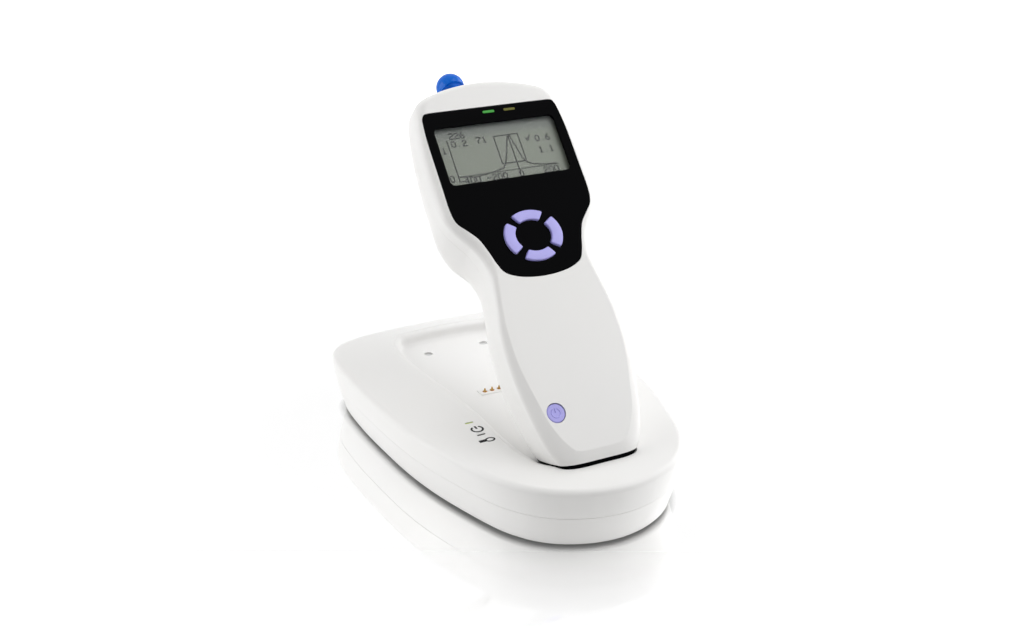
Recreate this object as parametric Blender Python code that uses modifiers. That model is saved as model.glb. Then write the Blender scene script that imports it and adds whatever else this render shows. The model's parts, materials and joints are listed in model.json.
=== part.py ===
"""A handheld tympanometer standing in its charging cradle.

World frame: metres, +Z up, origin on the ground under the middle of the cradle, +Y towards the
cradle's wide back end. The cradle is modelled with the tip of its front end at y = 0. The handset
is modelled flat, +Y from its foot to its head and +Z out of its face, and its parent empty leans
it back in the cradle's pocket. The probe is modelled upright, along the Z axis of its own empty.
"""

import math

import bmesh
import bpy
from mathutils import Matrix, Vector

# Fits and walls
GAP = 0.0003  # between pieces that touch, seat or slide
WEB_GAP = 0.0005  # round the main board
OVERRUN = 0.004  # how far a cutter runs past what it cuts
SHELL_WALL = 0.0024

# Cradle body
CRADLE_LENGTH = 0.2025
CRADLE_HALF_WIDTH = 0.0673
CRADLE_HEIGHT = 0.0307
# Half outline from front to back: share of CRADLE_HALF_WIDTH, share of CRADLE_LENGTH
CRADLE_OUTLINE_SHARES = (
    (0.0, 0.0),
    (0.21, 0.01),
    (0.4, 0.037),
    (0.535, 0.071),
    (0.64, 0.114),
    (0.738, 0.178),
    (0.852, 0.3),
    (0.925, 0.405),
    (0.968, 0.513),
    (0.996, 0.667),
    (1.0, 0.765),
    (0.985, 0.864),
    (0.93, 0.93),
    (0.82, 0.967),
    (0.62, 0.989),
    (0.33, 0.998),
    (0.0, 1.0),
)
CRADLE_TUCK = 0.0064  # how far the wall draws in at the ground
CRADLE_TUCK_POWER = 1.6
CRADLE_RIM_RADIUS = 0.003
CRADLE_CROWN = 0.001
CRADLE_SEAM_HEIGHT = 0.0165
CRADLE_BOTTOM_RADIUS = 0.002
FOOT_STANDOFF = 0.0012  # the base's underside above the ground

# Handset's place in the cradle
LEAN_ANGLE = math.radians(48.0)
LEAN_SETBACK = 0.0746 * CRADLE_LENGTH  # the foot's front edge behind the cradle's tip
LEAN_RISE = 0.0042  # the foot's front edge above the cradle's rim
POCKET_GAP = 0.0006

# Handset body
HANDSET_LENGTH = 0.190
HEAD_HALF_WIDTH = 0.0395
HEAD_DEPTH = 0.038
HANDLE_DEPTH = 0.0325
PARTING_DEPTH = 0.010
FACE_EDGE_RADIUS = 0.0045
FACE_DROP = 0.004  # the face curves back by this much at the foot
FLAT_FACE_SHARE = 0.58
# The shells end and the foot window starts at a plane through this height and depth
FOOT_SPLIT = (0.0021, -0.0044)
FOOT_SPLIT_TILT = math.radians(30)
NECK_SHARES = (0.41, 0.57)
NECK_SLIDE = 0.0105  # how much nearer the foot the neck is at the back than at the face
# Power of the superellipse across the back, where 2 is an ellipse: share of HANDSET_LENGTH, power
BACK_POWER_SHARES = (
    (0.0, 3.0),
    (0.44, 3.0),
    (0.572, 2.37),
    (0.607, 2.85),
    (0.7, 2.22),
    (0.85, 1.92),
    (1.0, 2.0),
)
HEAD_END_ROUND = 0.012
FOOT_END_ROUND = 0.005
SPINE_SHARE = 0.86
# Half outline from foot to head: share of HEAD_HALF_WIDTH, share of HANDSET_LENGTH
BODY_OUTLINE_SHARES = (
    (0.0, -0.003),
    (0.24, -0.002),
    (0.38, 0.006),
    (0.475, 0.021),
    (0.545, 0.043),
    (0.61, 0.077),
    (0.672, 0.128),
    (0.75, 0.237),
    (0.752, 0.342),
    (0.69, 0.421),
    (0.652, 0.484),
    (0.672, 0.521),
    (0.742, 0.558),
    (0.842, 0.589),
    (0.935, 0.621),
    (0.985, 0.658),
    (1.0, 0.737),
    (0.99, 0.816),
    (0.945, 0.884),
    (0.896, 0.926),
    (0.82, 0.951),
    (0.66, 0.967),
    (0.36, 0.982),
    (0.0, 0.989),
)

# Display panel, its screen and its lights
PANEL_THICKNESS = 0.0012
PANEL_CHAMFER = 0.0002
# Half outline from bottom to top: share of HEAD_HALF_WIDTH, share of HANDSET_LENGTH
PANEL_OUTLINE_SHARES = (
    (0.0, 0.461),
    (0.2, 0.464),
    (0.36, 0.472),
    (0.482, 0.486),
    (0.545, 0.511),
    (0.59, 0.541),
    (0.66, 0.576),
    (0.765, 0.602),
    (0.858, 0.626),
    (0.89, 0.661),
    (0.89, 0.72),
    (0.888, 0.83),
    (0.87, 0.885),
    (0.85, 0.903),
    (0.80, 0.911),
    (0.6, 0.912),
    (0.0, 0.912),
)
SCREEN_HALF_WIDTH = 0.775 * HEAD_HALF_WIDTH
SCREEN_HEIGHT = 0.1526 * HANDSET_LENGTH
SCREEN_CENTRE_SHARE = 0.7941
SCREEN_CORNER = 0.0025
LENS_THICKNESS = 0.001
LENS_MARGIN = 0.002
LCD_MARGIN = 0.0025
LIGHT_LENGTH = 0.006
LIGHT_WIDTH = 0.0013
LIGHT_DEPTH = 0.003
LIGHT_HEIGHT_SHARE = 0.8985
LIGHT_PLACES = {"status_light_green": -0.001, "status_light_yellow": 0.0097}

# Ring of four keys and the power key
RING_CENTRE_SHARE = 0.5625
RING_OUTER_RADIUS = 0.0749 * HANDSET_LENGTH
RING_INNER_RADIUS = 0.0467 * HANDSET_LENGTH
RING_SQUASH_SHARE = 0.865  # height of the ring by its width
KEY_SPAN = math.radians(66)
KEY_TRAVEL = 0.0008
KEY_STAND = 0.0014
KEY_FLANGE = 0.0006
KEY_FLANGE_THICKNESS = 0.0008
KEY_CORNER = 0.0005
KEYPAD_MARGIN = 0.0018
POWER_KEY_PLACE = (-0.405 * HEAD_HALF_WIDTH, 0.1379 * HANDSET_LENGTH)
POWER_KEY_RADIUS = 0.0043
POWER_KEY_SINK = 0.0003

# Main board, battery and its door
BOARD_DEPTH = 0.0086
BOARD_THICKNESS = 0.0016
BOARD_SPAN_SHARES = (0.075, 0.895)
SWITCH_RADIUS = 0.002
BATTERY_CENTRE = 0.3 * HANDSET_LENGTH
BATTERY_THICKNESS = 0.0105
BATTERY_CORNER = 0.003
BATTERY_MARGIN = 0.0022  # inside the door's edge
DOOR_HALF_WIDTH = 0.443 * HEAD_HALF_WIDTH
DOOR_LENGTH = 0.2526 * HANDSET_LENGTH
DOOR_CORNER = 0.004

# Case screws and their posts
SCREW_SHAFT_RADIUS = 0.0012
SCREW_HEAD_RADIUS = 0.0024
SCREW_HEAD_HEIGHT = 0.0015
SCREW_SOCKET_RADIUS = 0.0012
SCREW_SOCKET_DEPTH = 0.0008
POST_RADIUS = 0.0032
WELL_RADIUS = 0.004
WELL_FLOOR = 0.0028
# Places across and along: shares of HEAD_HALF_WIDTH and of HANDSET_LENGTH
CASE_SCREW_SHARES = ((0.557, 0.932), (-0.557, 0.932), (0.44, 0.487), (-0.44, 0.487))

# Pump, valve block and air tube
PUMP_FRAME_HALF_WIDTH = 0.557 * HEAD_HALF_WIDTH
PUMP_FRAME_THICKNESS = 0.004
PUMP_FRAME_LENGTH = 0.1263 * HANDSET_LENGTH
PUMP_CENTRE_SHARE = 0.69
PUMP_MOTOR_RADIUS = 0.0062
PUMP_MOTOR_LENGTH = 0.019
PUMP_SHAFT_RADIUS = 0.001
PUMP_BARREL_RADIUS = 0.0066
PUMP_BARREL_LENGTH = 0.018
VALVE_HALF_WIDTH = 0.009
VALVE_LENGTH = 0.012
VALVE_DEPTH = 0.0115
VALVE_CENTRE_SHARE = 0.82
TUBE_RADIUS = 0.0015

# Probe, from its seat on the head outwards
PROBE_ANGLE = math.radians(25)  # below the handset's long axis
PROBE_SETBACK = 0.0031  # seat below the head's end
PROBE_DEPTH = 0.0247  # seat behind the face
PROBE_BODY_RADIUS = 0.009
PROBE_BODY_REACH = 0.003
PROBE_BODY_ROOT = 0.009
PROBE_BORE_RADIUS = 0.0013
NOSE_LENGTH = 0.0058
NOSE_BASE_RADIUS = 0.0084
NOSE_FRONT_RADIUS = 0.0046
NOSE_WALL = 0.0014
TIP_FLANGE_RADIUS = 0.0056
TIP_FLANGE_THICKNESS = 0.0014
TIP_RADIUS = 0.0021
TIP_REACH = 0.0205
EAR_TIP_RADIUS = 0.00695
EAR_TIP_WALL_SHARE = 0.56

# Charging contacts on the handset's back
STRIP_HALF_WIDTH = 0.342 * HEAD_HALF_WIDTH
STRIP_HALF_HEIGHT = 0.0035
STRIP_SHARE = 0.555

# Tray for the handset lying down
TRAY_DEPTH = 0.0052
TRAY_EDGE = 0.0022
# Half outline from the front: share of CRADLE_HALF_WIDTH, share of CRADLE_LENGTH
TRAY_OUTLINE_SHARES = (
    (0.0, 0.134),
    (0.209, 0.139),
    (0.334, 0.163),
    (0.381, 0.218),
    (0.397, 0.327),
    (0.392, 0.446),
    (0.41, 0.564),
    (0.444, 0.673),
    (0.467, 0.782),
    (0.454, 0.861),
    (0.402, 0.906),
    (0.313, 0.923),
    (0.0, 0.931),
)
REST_PAD_PLACE = (0.235 * CRADLE_HALF_WIDTH, 0.8494 * CRADLE_LENGTH)
REST_PAD_RADIUS = 0.0021
REST_PAD_SINK = 0.0007
REST_PAD_THICKNESS = 0.0012

# Contact block, its six pins and the charger board
PIN_COUNT = 6
PIN_PITCH = 0.0039
PIN_TRAVEL = 0.001
PIN_RADIUS = 0.0008
PIN_TIP_RADIUS = 0.0003
PIN_STAND = 0.0018
PIN_ROW = 0.5802 * CRADLE_LENGTH
BLOCK_HALF_LENGTH = 0.003
BLOCK_STAND = 0.0004
BLOCK_CORNER = 0.001
CHARGER_HALF_WIDTH = 0.386 * CRADLE_HALF_WIDTH
CHARGER_FRONT = 0.0095  # of the board before the pins
CHARGER_SETBACK = 0.0105  # of the board from the cradle's back
CHARGER_SPAN = (PIN_ROW - CHARGER_FRONT, CRADLE_LENGTH - CHARGER_SETBACK)
CHARGER_TOP = 0.0172
CHARGER_THICKNESS = 0.0016
CHARGER_CORNER = 0.003
STANDOFF_RADIUS = 0.003
# Places on the cradle: shares of CRADLE_HALF_WIDTH and of CRADLE_LENGTH
STANDOFF_SHARES = ((0.312, 0.563), (-0.312, 0.563), (0.312, 0.84), (-0.312, 0.84))

# Lights on the cradle, from front to back
CRADLE_LIGHT_SHARES = {"charge_light": (-0.5275, 0.3368), "mains_light": (-0.5275, 0.4)}
CRADLE_LIGHT_LENGTH = 0.004
CRADLE_LIGHT_WIDTH = 0.0011
CRADLE_LIGHT_DEPTH = 0.0045

# Sockets in the cradle's back
POWER_SOCKET_X = -0.014
POWER_SOCKET_HALF_WIDTH = 0.0045
POWER_SOCKET_BORE = 0.003
POWER_SOCKET_PIN = 0.001
POWER_SOCKET_BORE_DEPTH = 0.009
DATA_SOCKET_X = 0.012
DATA_SOCKET_HALF_WIDTH = 0.004
DATA_SOCKET_WALL = 0.0006
DATA_SLOT_HEIGHT = 0.0028
DATA_SLOT_DEPTH = 0.006
SOCKET_LENGTH = 0.013
SOCKET_HEIGHT = 0.009
SOCKET_SINK = 0.0012  # the socket's mouth in front of the wall's outer face

# Ballast, rubber feet and base screws
BALLAST_HALF_WIDTH = 0.446 * CRADLE_HALF_WIDTH
BALLAST_LENGTH = 0.2173 * CRADLE_LENGTH
BALLAST_CENTRE = 0.4 * CRADLE_LENGTH
BALLAST_THICKNESS = 0.004
BALLAST_CORNER = 0.004
PAD_FOOT_RADIUS = 0.006
PAD_FOOT_THICKNESS = 0.0021
PAD_FOOT_SHARES = ((0.669, 0.8395), (-0.669, 0.8395), (0.416, 0.1481), (-0.416, 0.1481))
BASE_SCREW_SHARES = ((0.743, 0.7309), (-0.743, 0.7309), (0.565, 0.2272), (-0.565, 0.2272))
BASE_SCREW_LENGTH = 0.014
BASE_BOSS_RADIUS = 0.0044
BASE_BOSS_TOP = 0.0095
BASE_BOSS_FLOOR = 0.003

# Facets
ROUND_SIDES = 20
SMALL_SIDES = 8
OUTLINE_STEPS = 4
LEAST_TURN = math.radians(7)  # between neighbouring edges of a smooth outline
LEAST_CRADLE_TURN = math.radians(5)

NAME = "tympanometer"


def clear_scene():
    for obj in list(bpy.data.objects):
        bpy.data.objects.remove(obj)


def collection(name):
    made = bpy.data.collections.new(name)
    bpy.context.scene.collection.children.link(made)
    return made


def material(name, colour, roughness, metallic=0.0, transmission=0.0, glow=0.0):
    made = bpy.data.materials.new(name)
    made.use_nodes = True
    shader = made.node_tree.nodes["Principled BSDF"]
    shader.inputs["Base Color"].default_value = (*colour, 1.0)
    shader.inputs["Roughness"].default_value = roughness
    shader.inputs["Metallic"].default_value = metallic
    shader.inputs["Transmission Weight"].default_value = transmission
    shader.inputs["Emission Color"].default_value = (*colour, 1.0)
    shader.inputs["Emission Strength"].default_value = glow
    made.diffuse_color = (*colour, 1.0)
    return made


def frame(name, matrix, parent=None):
    empty = bpy.data.objects.new(name, None)
    parts.objects.link(empty)
    empty.parent = parent
    empty.matrix_local = matrix
    return empty


def add(name, mesh, parent, finish=None):
    """Links a piece, or a cutter where no finish is given."""
    obj = bpy.data.objects.new(name, mesh)
    obj.parent = parent
    if finish is None:
        cutters.objects.link(obj)
        obj.hide_render = True
        obj.display_type = "WIRE"
    else:
        parts.objects.link(obj)
        mesh.materials.append(finish)
        mesh.shade_smooth()
        mesh.set_sharp_from_angle(angle=math.radians(35))
    return obj


def to_mesh(name, bm):
    bmesh.ops.recalc_face_normals(bm, faces=bm.faces)
    mesh = bpy.data.meshes.new(name)
    bm.to_mesh(mesh)
    bm.free()
    return mesh


def set_origin(obj, point):
    obj.data.transform(Matrix.Translation(-Vector(point)))
    obj.location = point
    return obj


# Outlines: closed loops of points, anticlockwise


def smooth_half(shares, across, along, least_turn=LEAST_TURN):
    """Points of a Catmull-Rom curve through a half outline that starts and ends on the middle line."""
    knots = [Vector((x * across, y * along)) for x, y in shares]
    first = Vector((-knots[1].x, knots[1].y))
    last = Vector((-knots[-2].x, knots[-2].y))
    knots = [first, *knots, last]
    path = []
    for before, start, end, after in zip(knots, knots[1:], knots[2:], knots[3:]):
        for step in range(OUTLINE_STEPS):
            t = step / OUTLINE_STEPS
            bend = (end - before) * t + (before * 2 - start * 5 + end * 4 - after) * t**2
            bend += (start * 3 - before - end * 3 + after) * t**3
            path.append(start + bend / 2)
    path.append(knots[-2])
    path[0].x = path[-1].x = 0.0
    return thinned(path, least_turn)


def thinned(path, least_turn):
    """The path without the points at which it hardly turns."""
    kept = [path[0]]
    for point, after in zip(path[1:], path[2:]):
        if (point - kept[-1]).angle(after - point) > least_turn:
            kept.append(point)
    return kept + [path[-1]]


def mirrored(half):
    return half + [Vector((-point.x, point.y)) for point in reversed(half[1:-1])]


def arc(centre, radius, start, end, steps):
    angles = [start + (end - start) * step / steps for step in range(steps + 1)]
    return [centre + Vector((math.cos(a), math.sin(a))) * radius for a in angles]


def grown(loop, distance):
    """The loop moved outwards by a distance, with mitred corners."""
    moved = []
    for before, point, after in zip(loop[-1:] + loop[:-1], loop, loop[1:] + loop[:1]):
        one = (point - before).normalized()
        two = (after - point).normalized()
        lean = Vector((one.y + two.y, -one.x - two.x))
        moved.append(point + lean * distance / (1 + one.dot(two)))
    return moved


def box_loop(half_width, half_height, corner, centre=(0, 0), steps=3):
    loop = []
    for quarter, (sx, sy) in enumerate(((1, -1), (1, 1), (-1, 1), (-1, -1))):
        turn = math.pi / 2 * (quarter - 1)
        middle = Vector((sx * (half_width - corner), sy * (half_height - corner))) + Vector(centre)
        loop += arc(middle, corner, turn, turn + math.pi / 2, steps)
    return loop


def circle_loop(radius, centre, sides=ROUND_SIDES):
    return arc(Vector(centre), radius, 0, math.tau, sides)[:-1]


def cradle_loop():
    half = smooth_half(
        CRADLE_OUTLINE_SHARES, CRADLE_HALF_WIDTH, CRADLE_LENGTH, LEAST_CRADLE_TURN
    )
    return mirrored(half)


# Solids


def ring(loop, level):
    """The loop's points at a level, which is a height or a function of the distance along Y."""
    if callable(level):
        return [Vector((point.x, point.y, level(point.y))) for point in loop]
    return [Vector((point.x, point.y, level)) for point in loop]


def lofted(name, rings, parent, finish=None, caps=(True, True)):
    """Skin over rings of equally many points, first ring lowest."""
    bm = bmesh.new()
    rows = [[bm.verts.new(point) for point in points] for points in rings]
    for low, high in zip(rows, rows[1:]):
        for i in range(len(low)):
            j = (i + 1) % len(low)
            bm.faces.new((low[i], low[j], high[j], high[i]))
    if caps[0]:
        bm.faces.new(list(reversed(rows[0])))
    if caps[1]:
        bm.faces.new(rows[-1])
    bmesh.ops.remove_doubles(bm, verts=bm.verts, dist=GAP / 100)
    return add(name, to_mesh(name, bm), parent, finish)


def stacked(name, loop, steps, parent, finish=None):
    """A prism whose outline grows or shrinks at each (growth, level) step."""
    return lofted(name, [ring(grown(loop, g), z) for g, z in steps], parent, finish)


def prism(name, loop, low, high, parent, finish=None, chamfer=0.0):
    steps = [(0, low), (0, high)]
    if chamfer:
        steps = [(0, low), (0, high - chamfer), (-chamfer, high)]
    return stacked(name, loop, steps, parent, finish)


def cylinder(name, radius, low, high, place, parent, finish=None, sides=ROUND_SIDES):
    bm = bmesh.new()
    middle = Matrix.Translation((place[0], place[1], (low + high) / 2))
    bmesh.ops.create_cone(
        bm,
        cap_ends=True,
        segments=sides,
        radius1=radius,
        radius2=radius,
        depth=high - low,
        matrix=middle,
    )
    return add(name, to_mesh(name, bm), parent, finish)


def group(name, pieces, parent):
    """Cutters that do one job, joined in one mesh."""
    bm = bmesh.new()
    for piece in pieces:
        bm.from_mesh(piece.data)
        bpy.data.objects.remove(piece)
    return add(name, to_mesh(name, bm), parent)


def turned(name, profile, parent, finish, closed=False, sides=ROUND_SIDES):
    """A profile of (radius, height) points spun about Z; it runs down the outer side."""
    mesh = bpy.data.meshes.new(name)
    edges = [(i, i + 1) for i in range(len(profile) - 1)]
    if closed:
        edges.append((len(profile) - 1, 0))
    mesh.from_pydata([(r, 0, z) for r, z in profile], edges, [])
    obj = add(name, mesh, parent, finish)
    spin = obj.modifiers.new("spin", "SCREW")
    spin.steps = spin.render_steps = sides
    spin.use_merge_vertices = True
    spin.merge_threshold = GAP / 10
    spin.use_smooth_shade = True
    return obj


def boolean(obj, operation, others, solver="EXACT"):
    for other in others:
        step = obj.modifiers.new(other.name, "BOOLEAN")
        step.operation = operation
        step.object = other
        step.solver = solver
    return obj


def cut(obj, *others):
    return boolean(obj, "DIFFERENCE", others)


def join(obj, *others):
    return boolean(obj, "UNION", others)


def keep_inside(obj, *others):
    return boolean(obj, "INTERSECT", others)


def walled(obj):
    """Gives an open surface its wall, inwards."""
    wall = obj.modifiers.new("wall", "SOLIDIFY")
    wall.thickness = SHELL_WALL
    wall.offset = -1
    wall.use_even_offset = True
    return obj


# Handset body


def face_level(y):
    """Height of the handset's face: flat on the head, curving back towards the foot."""
    flat_from = HANDSET_LENGTH * FLAT_FACE_SHARE
    return -FACE_DROP * (max(flat_from - y, 0) / flat_from) ** 2


def eased_share(place, low, high):
    """Smooth step from 0 at low to 1 at high."""
    share = min(max((place - low) / (high - low), 0), 1)
    return share * share * (3 - 2 * share)


def back_level(y):
    """Height of the handset's back on its middle line: deep at the head, shallow at the handle."""
    step = eased_share(y / HANDSET_LENGTH, *NECK_SHARES)
    return -HANDLE_DEPTH - (HEAD_DEPTH - HANDLE_DEPTH) * step


def back_power(y):
    """How square the back's corners are at this place along the handset."""
    place = y / HANDSET_LENGTH
    power = BACK_POWER_SHARES[0][1]
    for (low, before), (high, after) in zip(BACK_POWER_SHARES, BACK_POWER_SHARES[1:]):
        power += (after - before) * eased_share(place, low, high)
    return power


def body_loop(growth=0.0):
    half = smooth_half(BODY_OUTLINE_SHARES, HEAD_HALF_WIDTH, HANDSET_LENGTH)
    return grown(mirrored(half), growth) if growth else mirrored(half)


def to_spine(loop, share=0.0):
    """The loop drawn in to the middle line, or a share of the way out from it."""
    low = min(point.y for point in loop)
    high = max(point.y for point in loop)
    middle = (low + high) / 2
    pull = SPINE_SHARE + (1 - SPINE_SHARE) * share
    return [Vector((p.x * share, middle + (p.y - middle) * pull)) for p in loop]


def front_rings(growth=0.0, start=-PARTING_DEPTH, steps=3):
    """Rings of the front half: straight wall, rounded edge, then the face."""
    loop = body_loop(growth)
    radius = FACE_EDGE_RADIUS + growth
    rings = [ring(loop, start)]
    for step in range(steps + 1):
        turn = math.pi / 2 * step / steps
        drop = radius * (1 - math.sin(turn)) - growth
        inner = grown(loop, -radius * (1 - math.cos(turn)))
        rings.append(ring(inner, lambda y, drop=drop: face_level(y) - drop))
    rings.append(ring(to_spine(inner), lambda y: face_level(y) + growth))
    return rings


def back_rings(growth=0.0, start=-PARTING_DEPTH, steps=5):
    """Rings of the back half, a superellipse across at every height, closing on the spine."""
    loop = body_loop(growth)
    low = min(point.y for point in loop)
    high = max(point.y for point in loop)
    wall = start - FACE_EDGE_RADIUS / 4
    rings = [ring(loop, start)]
    for step in range(steps + 1):
        turn = math.pi / 2 * step / steps
        points = []
        for point in loop:
            power = 2 / back_power(point.y)
            across = math.cos(turn) ** power
            foot = low + FOOT_END_ROUND * (1 - across)
            head = high - HEAD_END_ROUND * (1 - across)
            share = (point.y - low) / (high - low)
            slide = NECK_SLIDE * math.sin(turn) * math.sin(math.pi * share) ** 2
            y = foot + (head - foot) * share - slide
            depth = (back_level(y) - growth - wall) * math.sin(turn) ** power
            points.append(Vector((point.x * across, y, wall + depth)))
        rings.append(points)
    for point in rings[-1]:
        point.x = 0.0
    return rings


def body_solid(name, growth):
    """The whole handset outline as a closed cutter."""
    rings = list(reversed(back_rings(growth))) + front_rings(growth)[1:]
    return lofted(name, rings, handset, caps=(False, False))


def half_shell(name, rings, finish=None):
    return walled(lofted(name, rings, handset, finish, caps=(False, False)))


def slab(name, parent, low_corner, high_corner, finish=None):
    low = Vector(low_corner)
    high = Vector(high_corner)
    loop = [
        Vector((low.x, low.y)),
        Vector((high.x, low.y)),
        Vector((high.x, high.y)),
        Vector((low.x, high.y)),
    ]
    return prism(name, loop, low.z, high.z, parent, finish)


def foot_slab(name, low, high):
    """A block between two heights above the plane where the foot window starts."""
    side = HEAD_HALF_WIDTH + OVERRUN
    return slab(name, foot, (-side, low, -HANDSET_LENGTH), (side, high, HANDSET_LENGTH))


def case_screw_places():
    return [(x * HEAD_HALF_WIDTH, y * HANDSET_LENGTH) for x, y in CASE_SCREW_SHARES]


def cradle_places(shares):
    return [(x * CRADLE_HALF_WIDTH, y * CRADLE_LENGTH) for x, y in shares]


def cylinders(name, places, radius, low, high, parent, sides=SMALL_SIDES):
    made = [cylinder(name, radius, low, high, place, parent, sides=sides) for place in places]
    return group(name, made, parent)


def build_front_shell():
    shell = half_shell("front_shell", front_rings(start=-PARTING_DEPTH + GAP / 2), white)
    places = case_screw_places()
    posts = cylinders(
        "cut_posts", places, POST_RADIUS, -PARTING_DEPTH + GAP / 2, -SHELL_WALL * 0.75, handset
    )
    pilots = cylinders(
        "cut_pilots",
        places,
        SCREW_SHAFT_RADIUS + GAP / 2,
        -PARTING_DEPTH - OVERRUN,
        -SHELL_WALL - GAP * 2,
        handset,
    )
    join(shell, posts)
    cut(shell, foot_slab("cut_foot", -HEAD_DEPTH, 0.0), pilots)
    recess = grown(panel_loop(), GAP)
    cut(shell, prism("cut_panel_seat", recess, -PANEL_THICKNESS - GAP, OVERRUN, handset))
    window = screen_loop(LENS_MARGIN + GAP)
    deep = -PARTING_DEPTH / 2
    cut(shell, prism("cut_screen", window, deep, OVERRUN, handset))
    keypad = [
        ring_point(RING_OUTER_RADIUS + KEYPAD_MARGIN, math.tau * step / ROUND_SIDES)
        for step in range(ROUND_SIDES)
    ]
    cut(shell, prism("cut_keypad", keypad, deep, OVERRUN, handset))
    cut(
        shell,
        cylinder(
            "cut_power_key", POWER_KEY_RADIUS + GAP, -PARTING_DEPTH, OVERRUN, POWER_KEY_PLACE, handset
        ),
    )
    lights = [
        prism(name, light_loop(x, GAP * 2), deep, OVERRUN, handset)
        for name, x in LIGHT_PLACES.items()
    ]
    cut(shell, group("cut_light_holes", lights, handset))
    return shell


def build_back_shell():
    start = -PARTING_DEPTH - GAP / 2
    shell = half_shell("back_shell", back_rings(start=start), white)
    places = case_screw_places()
    wells = cylinders("cut_wells", places, WELL_RADIUS, -HEAD_DEPTH, start, handset)
    keep_inside(wells, body_solid("cut_well_trim", -SHELL_WALL / 2))
    join(shell, wells)
    bores = cylinders(
        "cut_well_bores",
        places,
        SCREW_HEAD_RADIUS + GAP,
        -HEAD_DEPTH - OVERRUN,
        start - WELL_FLOOR,
        handset,
    )
    holes = cylinders(
        "cut_screw_holes",
        places,
        SCREW_SHAFT_RADIUS + GAP,
        start - WELL_FLOOR - OVERRUN,
        start + OVERRUN,
        handset,
    )
    cut(shell, bores, holes, foot_slab("cut_foot_back", -HEAD_DEPTH, 0.0))
    socket = cylinder(
        "cut_probe_seat",
        PROBE_BODY_RADIUS + GAP,
        -PROBE_BODY_ROOT - GAP,
        PROBE_BODY_REACH * 2 + OVERRUN,
        (0, 0),
        probe,
    )
    low = -HEAD_DEPTH - OVERRUN
    inner = -PARTING_DEPTH - SHELL_WALL
    strip = box_loop(STRIP_HALF_WIDTH, STRIP_HALF_HEIGHT, BLOCK_CORNER, strip_place())
    cut(
        shell,
        socket,
        prism("cut_door", door_loop(0.0), low, inner, handset),
        prism("cut_strip", strip, low, inner, handset),
    )
    return shell


def build_foot_window():
    """The dark infrared window that closes the handset's foot, with a spigot inside the shells."""
    window = lofted(
        "ir_window",
        list(reversed(back_rings())) + front_rings()[1:],
        handset,
        black_gloss,
        caps=(False, False),
    )
    keep_inside(window, foot_slab("cut_window", -HEAD_DEPTH, -GAP))
    spigot = body_solid("cut_spigot", -SHELL_WALL - GAP)
    reach = foot_slab("cut_spigot_reach", -SHELL_WALL, SHELL_WALL)
    keep_inside(spigot, reach)
    # EXACT turns this union inside out
    return boolean(window, "UNION", [spigot], "MANIFOLD")


# Panel, screen and keys


def panel_loop():
    return mirrored(smooth_half(PANEL_OUTLINE_SHARES, HEAD_HALF_WIDTH, HANDSET_LENGTH))


def screen_loop(growth):
    return box_loop(
        SCREEN_HALF_WIDTH + growth,
        SCREEN_HEIGHT / 2 + growth,
        SCREEN_CORNER,
        (0, SCREEN_CENTRE_SHARE * HANDSET_LENGTH),
    )


def light_loop(x, growth):
    half = LIGHT_WIDTH / 2 + growth
    return box_loop(
        LIGHT_LENGTH / 2 + growth, half, half * 0.8, (x, LIGHT_HEIGHT_SHARE * HANDSET_LENGTH), 2
    )


def ring_point(radius, turn):
    centre = RING_CENTRE_SHARE * HANDSET_LENGTH
    return Vector(
        (radius * math.cos(turn), centre + radius * RING_SQUASH_SHARE * math.sin(turn))
    )


def key_span(turn):
    """Angle that a key takes up; the squashed ring's side keys take more, for the same length."""
    return KEY_SPAN / RING_SQUASH_SHARE if abs(math.sin(turn)) < 0.5 else KEY_SPAN


def key_loop(turn):
    """One quarter of the key ring, centred on an angle."""
    steps = 6
    span = key_span(turn)
    turns = [turn + span * (step / steps - 1 / 2) for step in range(steps + 1)]
    outer = [ring_point(RING_OUTER_RADIUS, a) for a in turns]
    inner = [ring_point(RING_INNER_RADIUS, a) for a in reversed(turns)]
    return outer + inner


KEY_TURNS = {"key_right": 0, "key_up": math.pi / 2, "key_left": math.pi, "key_down": -math.pi / 2}


def build_panel():
    panel = prism(
        "display_panel", panel_loop(), -PANEL_THICKNESS, 0.0, handset, black_gloss, PANEL_CHAMFER
    )
    low = -PANEL_THICKNESS - OVERRUN
    cut(panel, prism("cut_window_hole", screen_loop(0.0), low, OVERRUN, handset))
    for name, turn in KEY_TURNS.items():
        hole = grown(key_loop(turn), GAP)
        cut(panel, prism("cut_" + name, hole, low, OVERRUN, handset))
    for name, x in LIGHT_PLACES.items():
        cut(panel, prism("cut_" + name, light_loop(x, GAP / 2), low, OVERRUN, handset))
    return panel


def build_screen():
    top = -PANEL_THICKNESS - GAP
    low = top - LENS_THICKNESS
    prism("screen_lens", screen_loop(LENS_MARGIN), low, top, handset, clear, PANEL_CHAMFER)
    bezel = screen_loop(LCD_MARGIN)
    return prism(
        "lcd_module", bezel, -BOARD_DEPTH + GAP, low - GAP, handset, screen_grey, PANEL_CHAMFER
    )


def build_lights():
    for name, x in LIGHT_PLACES.items():
        glow = green_light if name.endswith("green") else yellow_light
        prism(name, light_loop(x, 0.0), -LIGHT_DEPTH, 0.0, handset, glow, PANEL_CHAMFER / 2)


def key_flange_top():
    return -PANEL_THICKNESS - GAP


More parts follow.
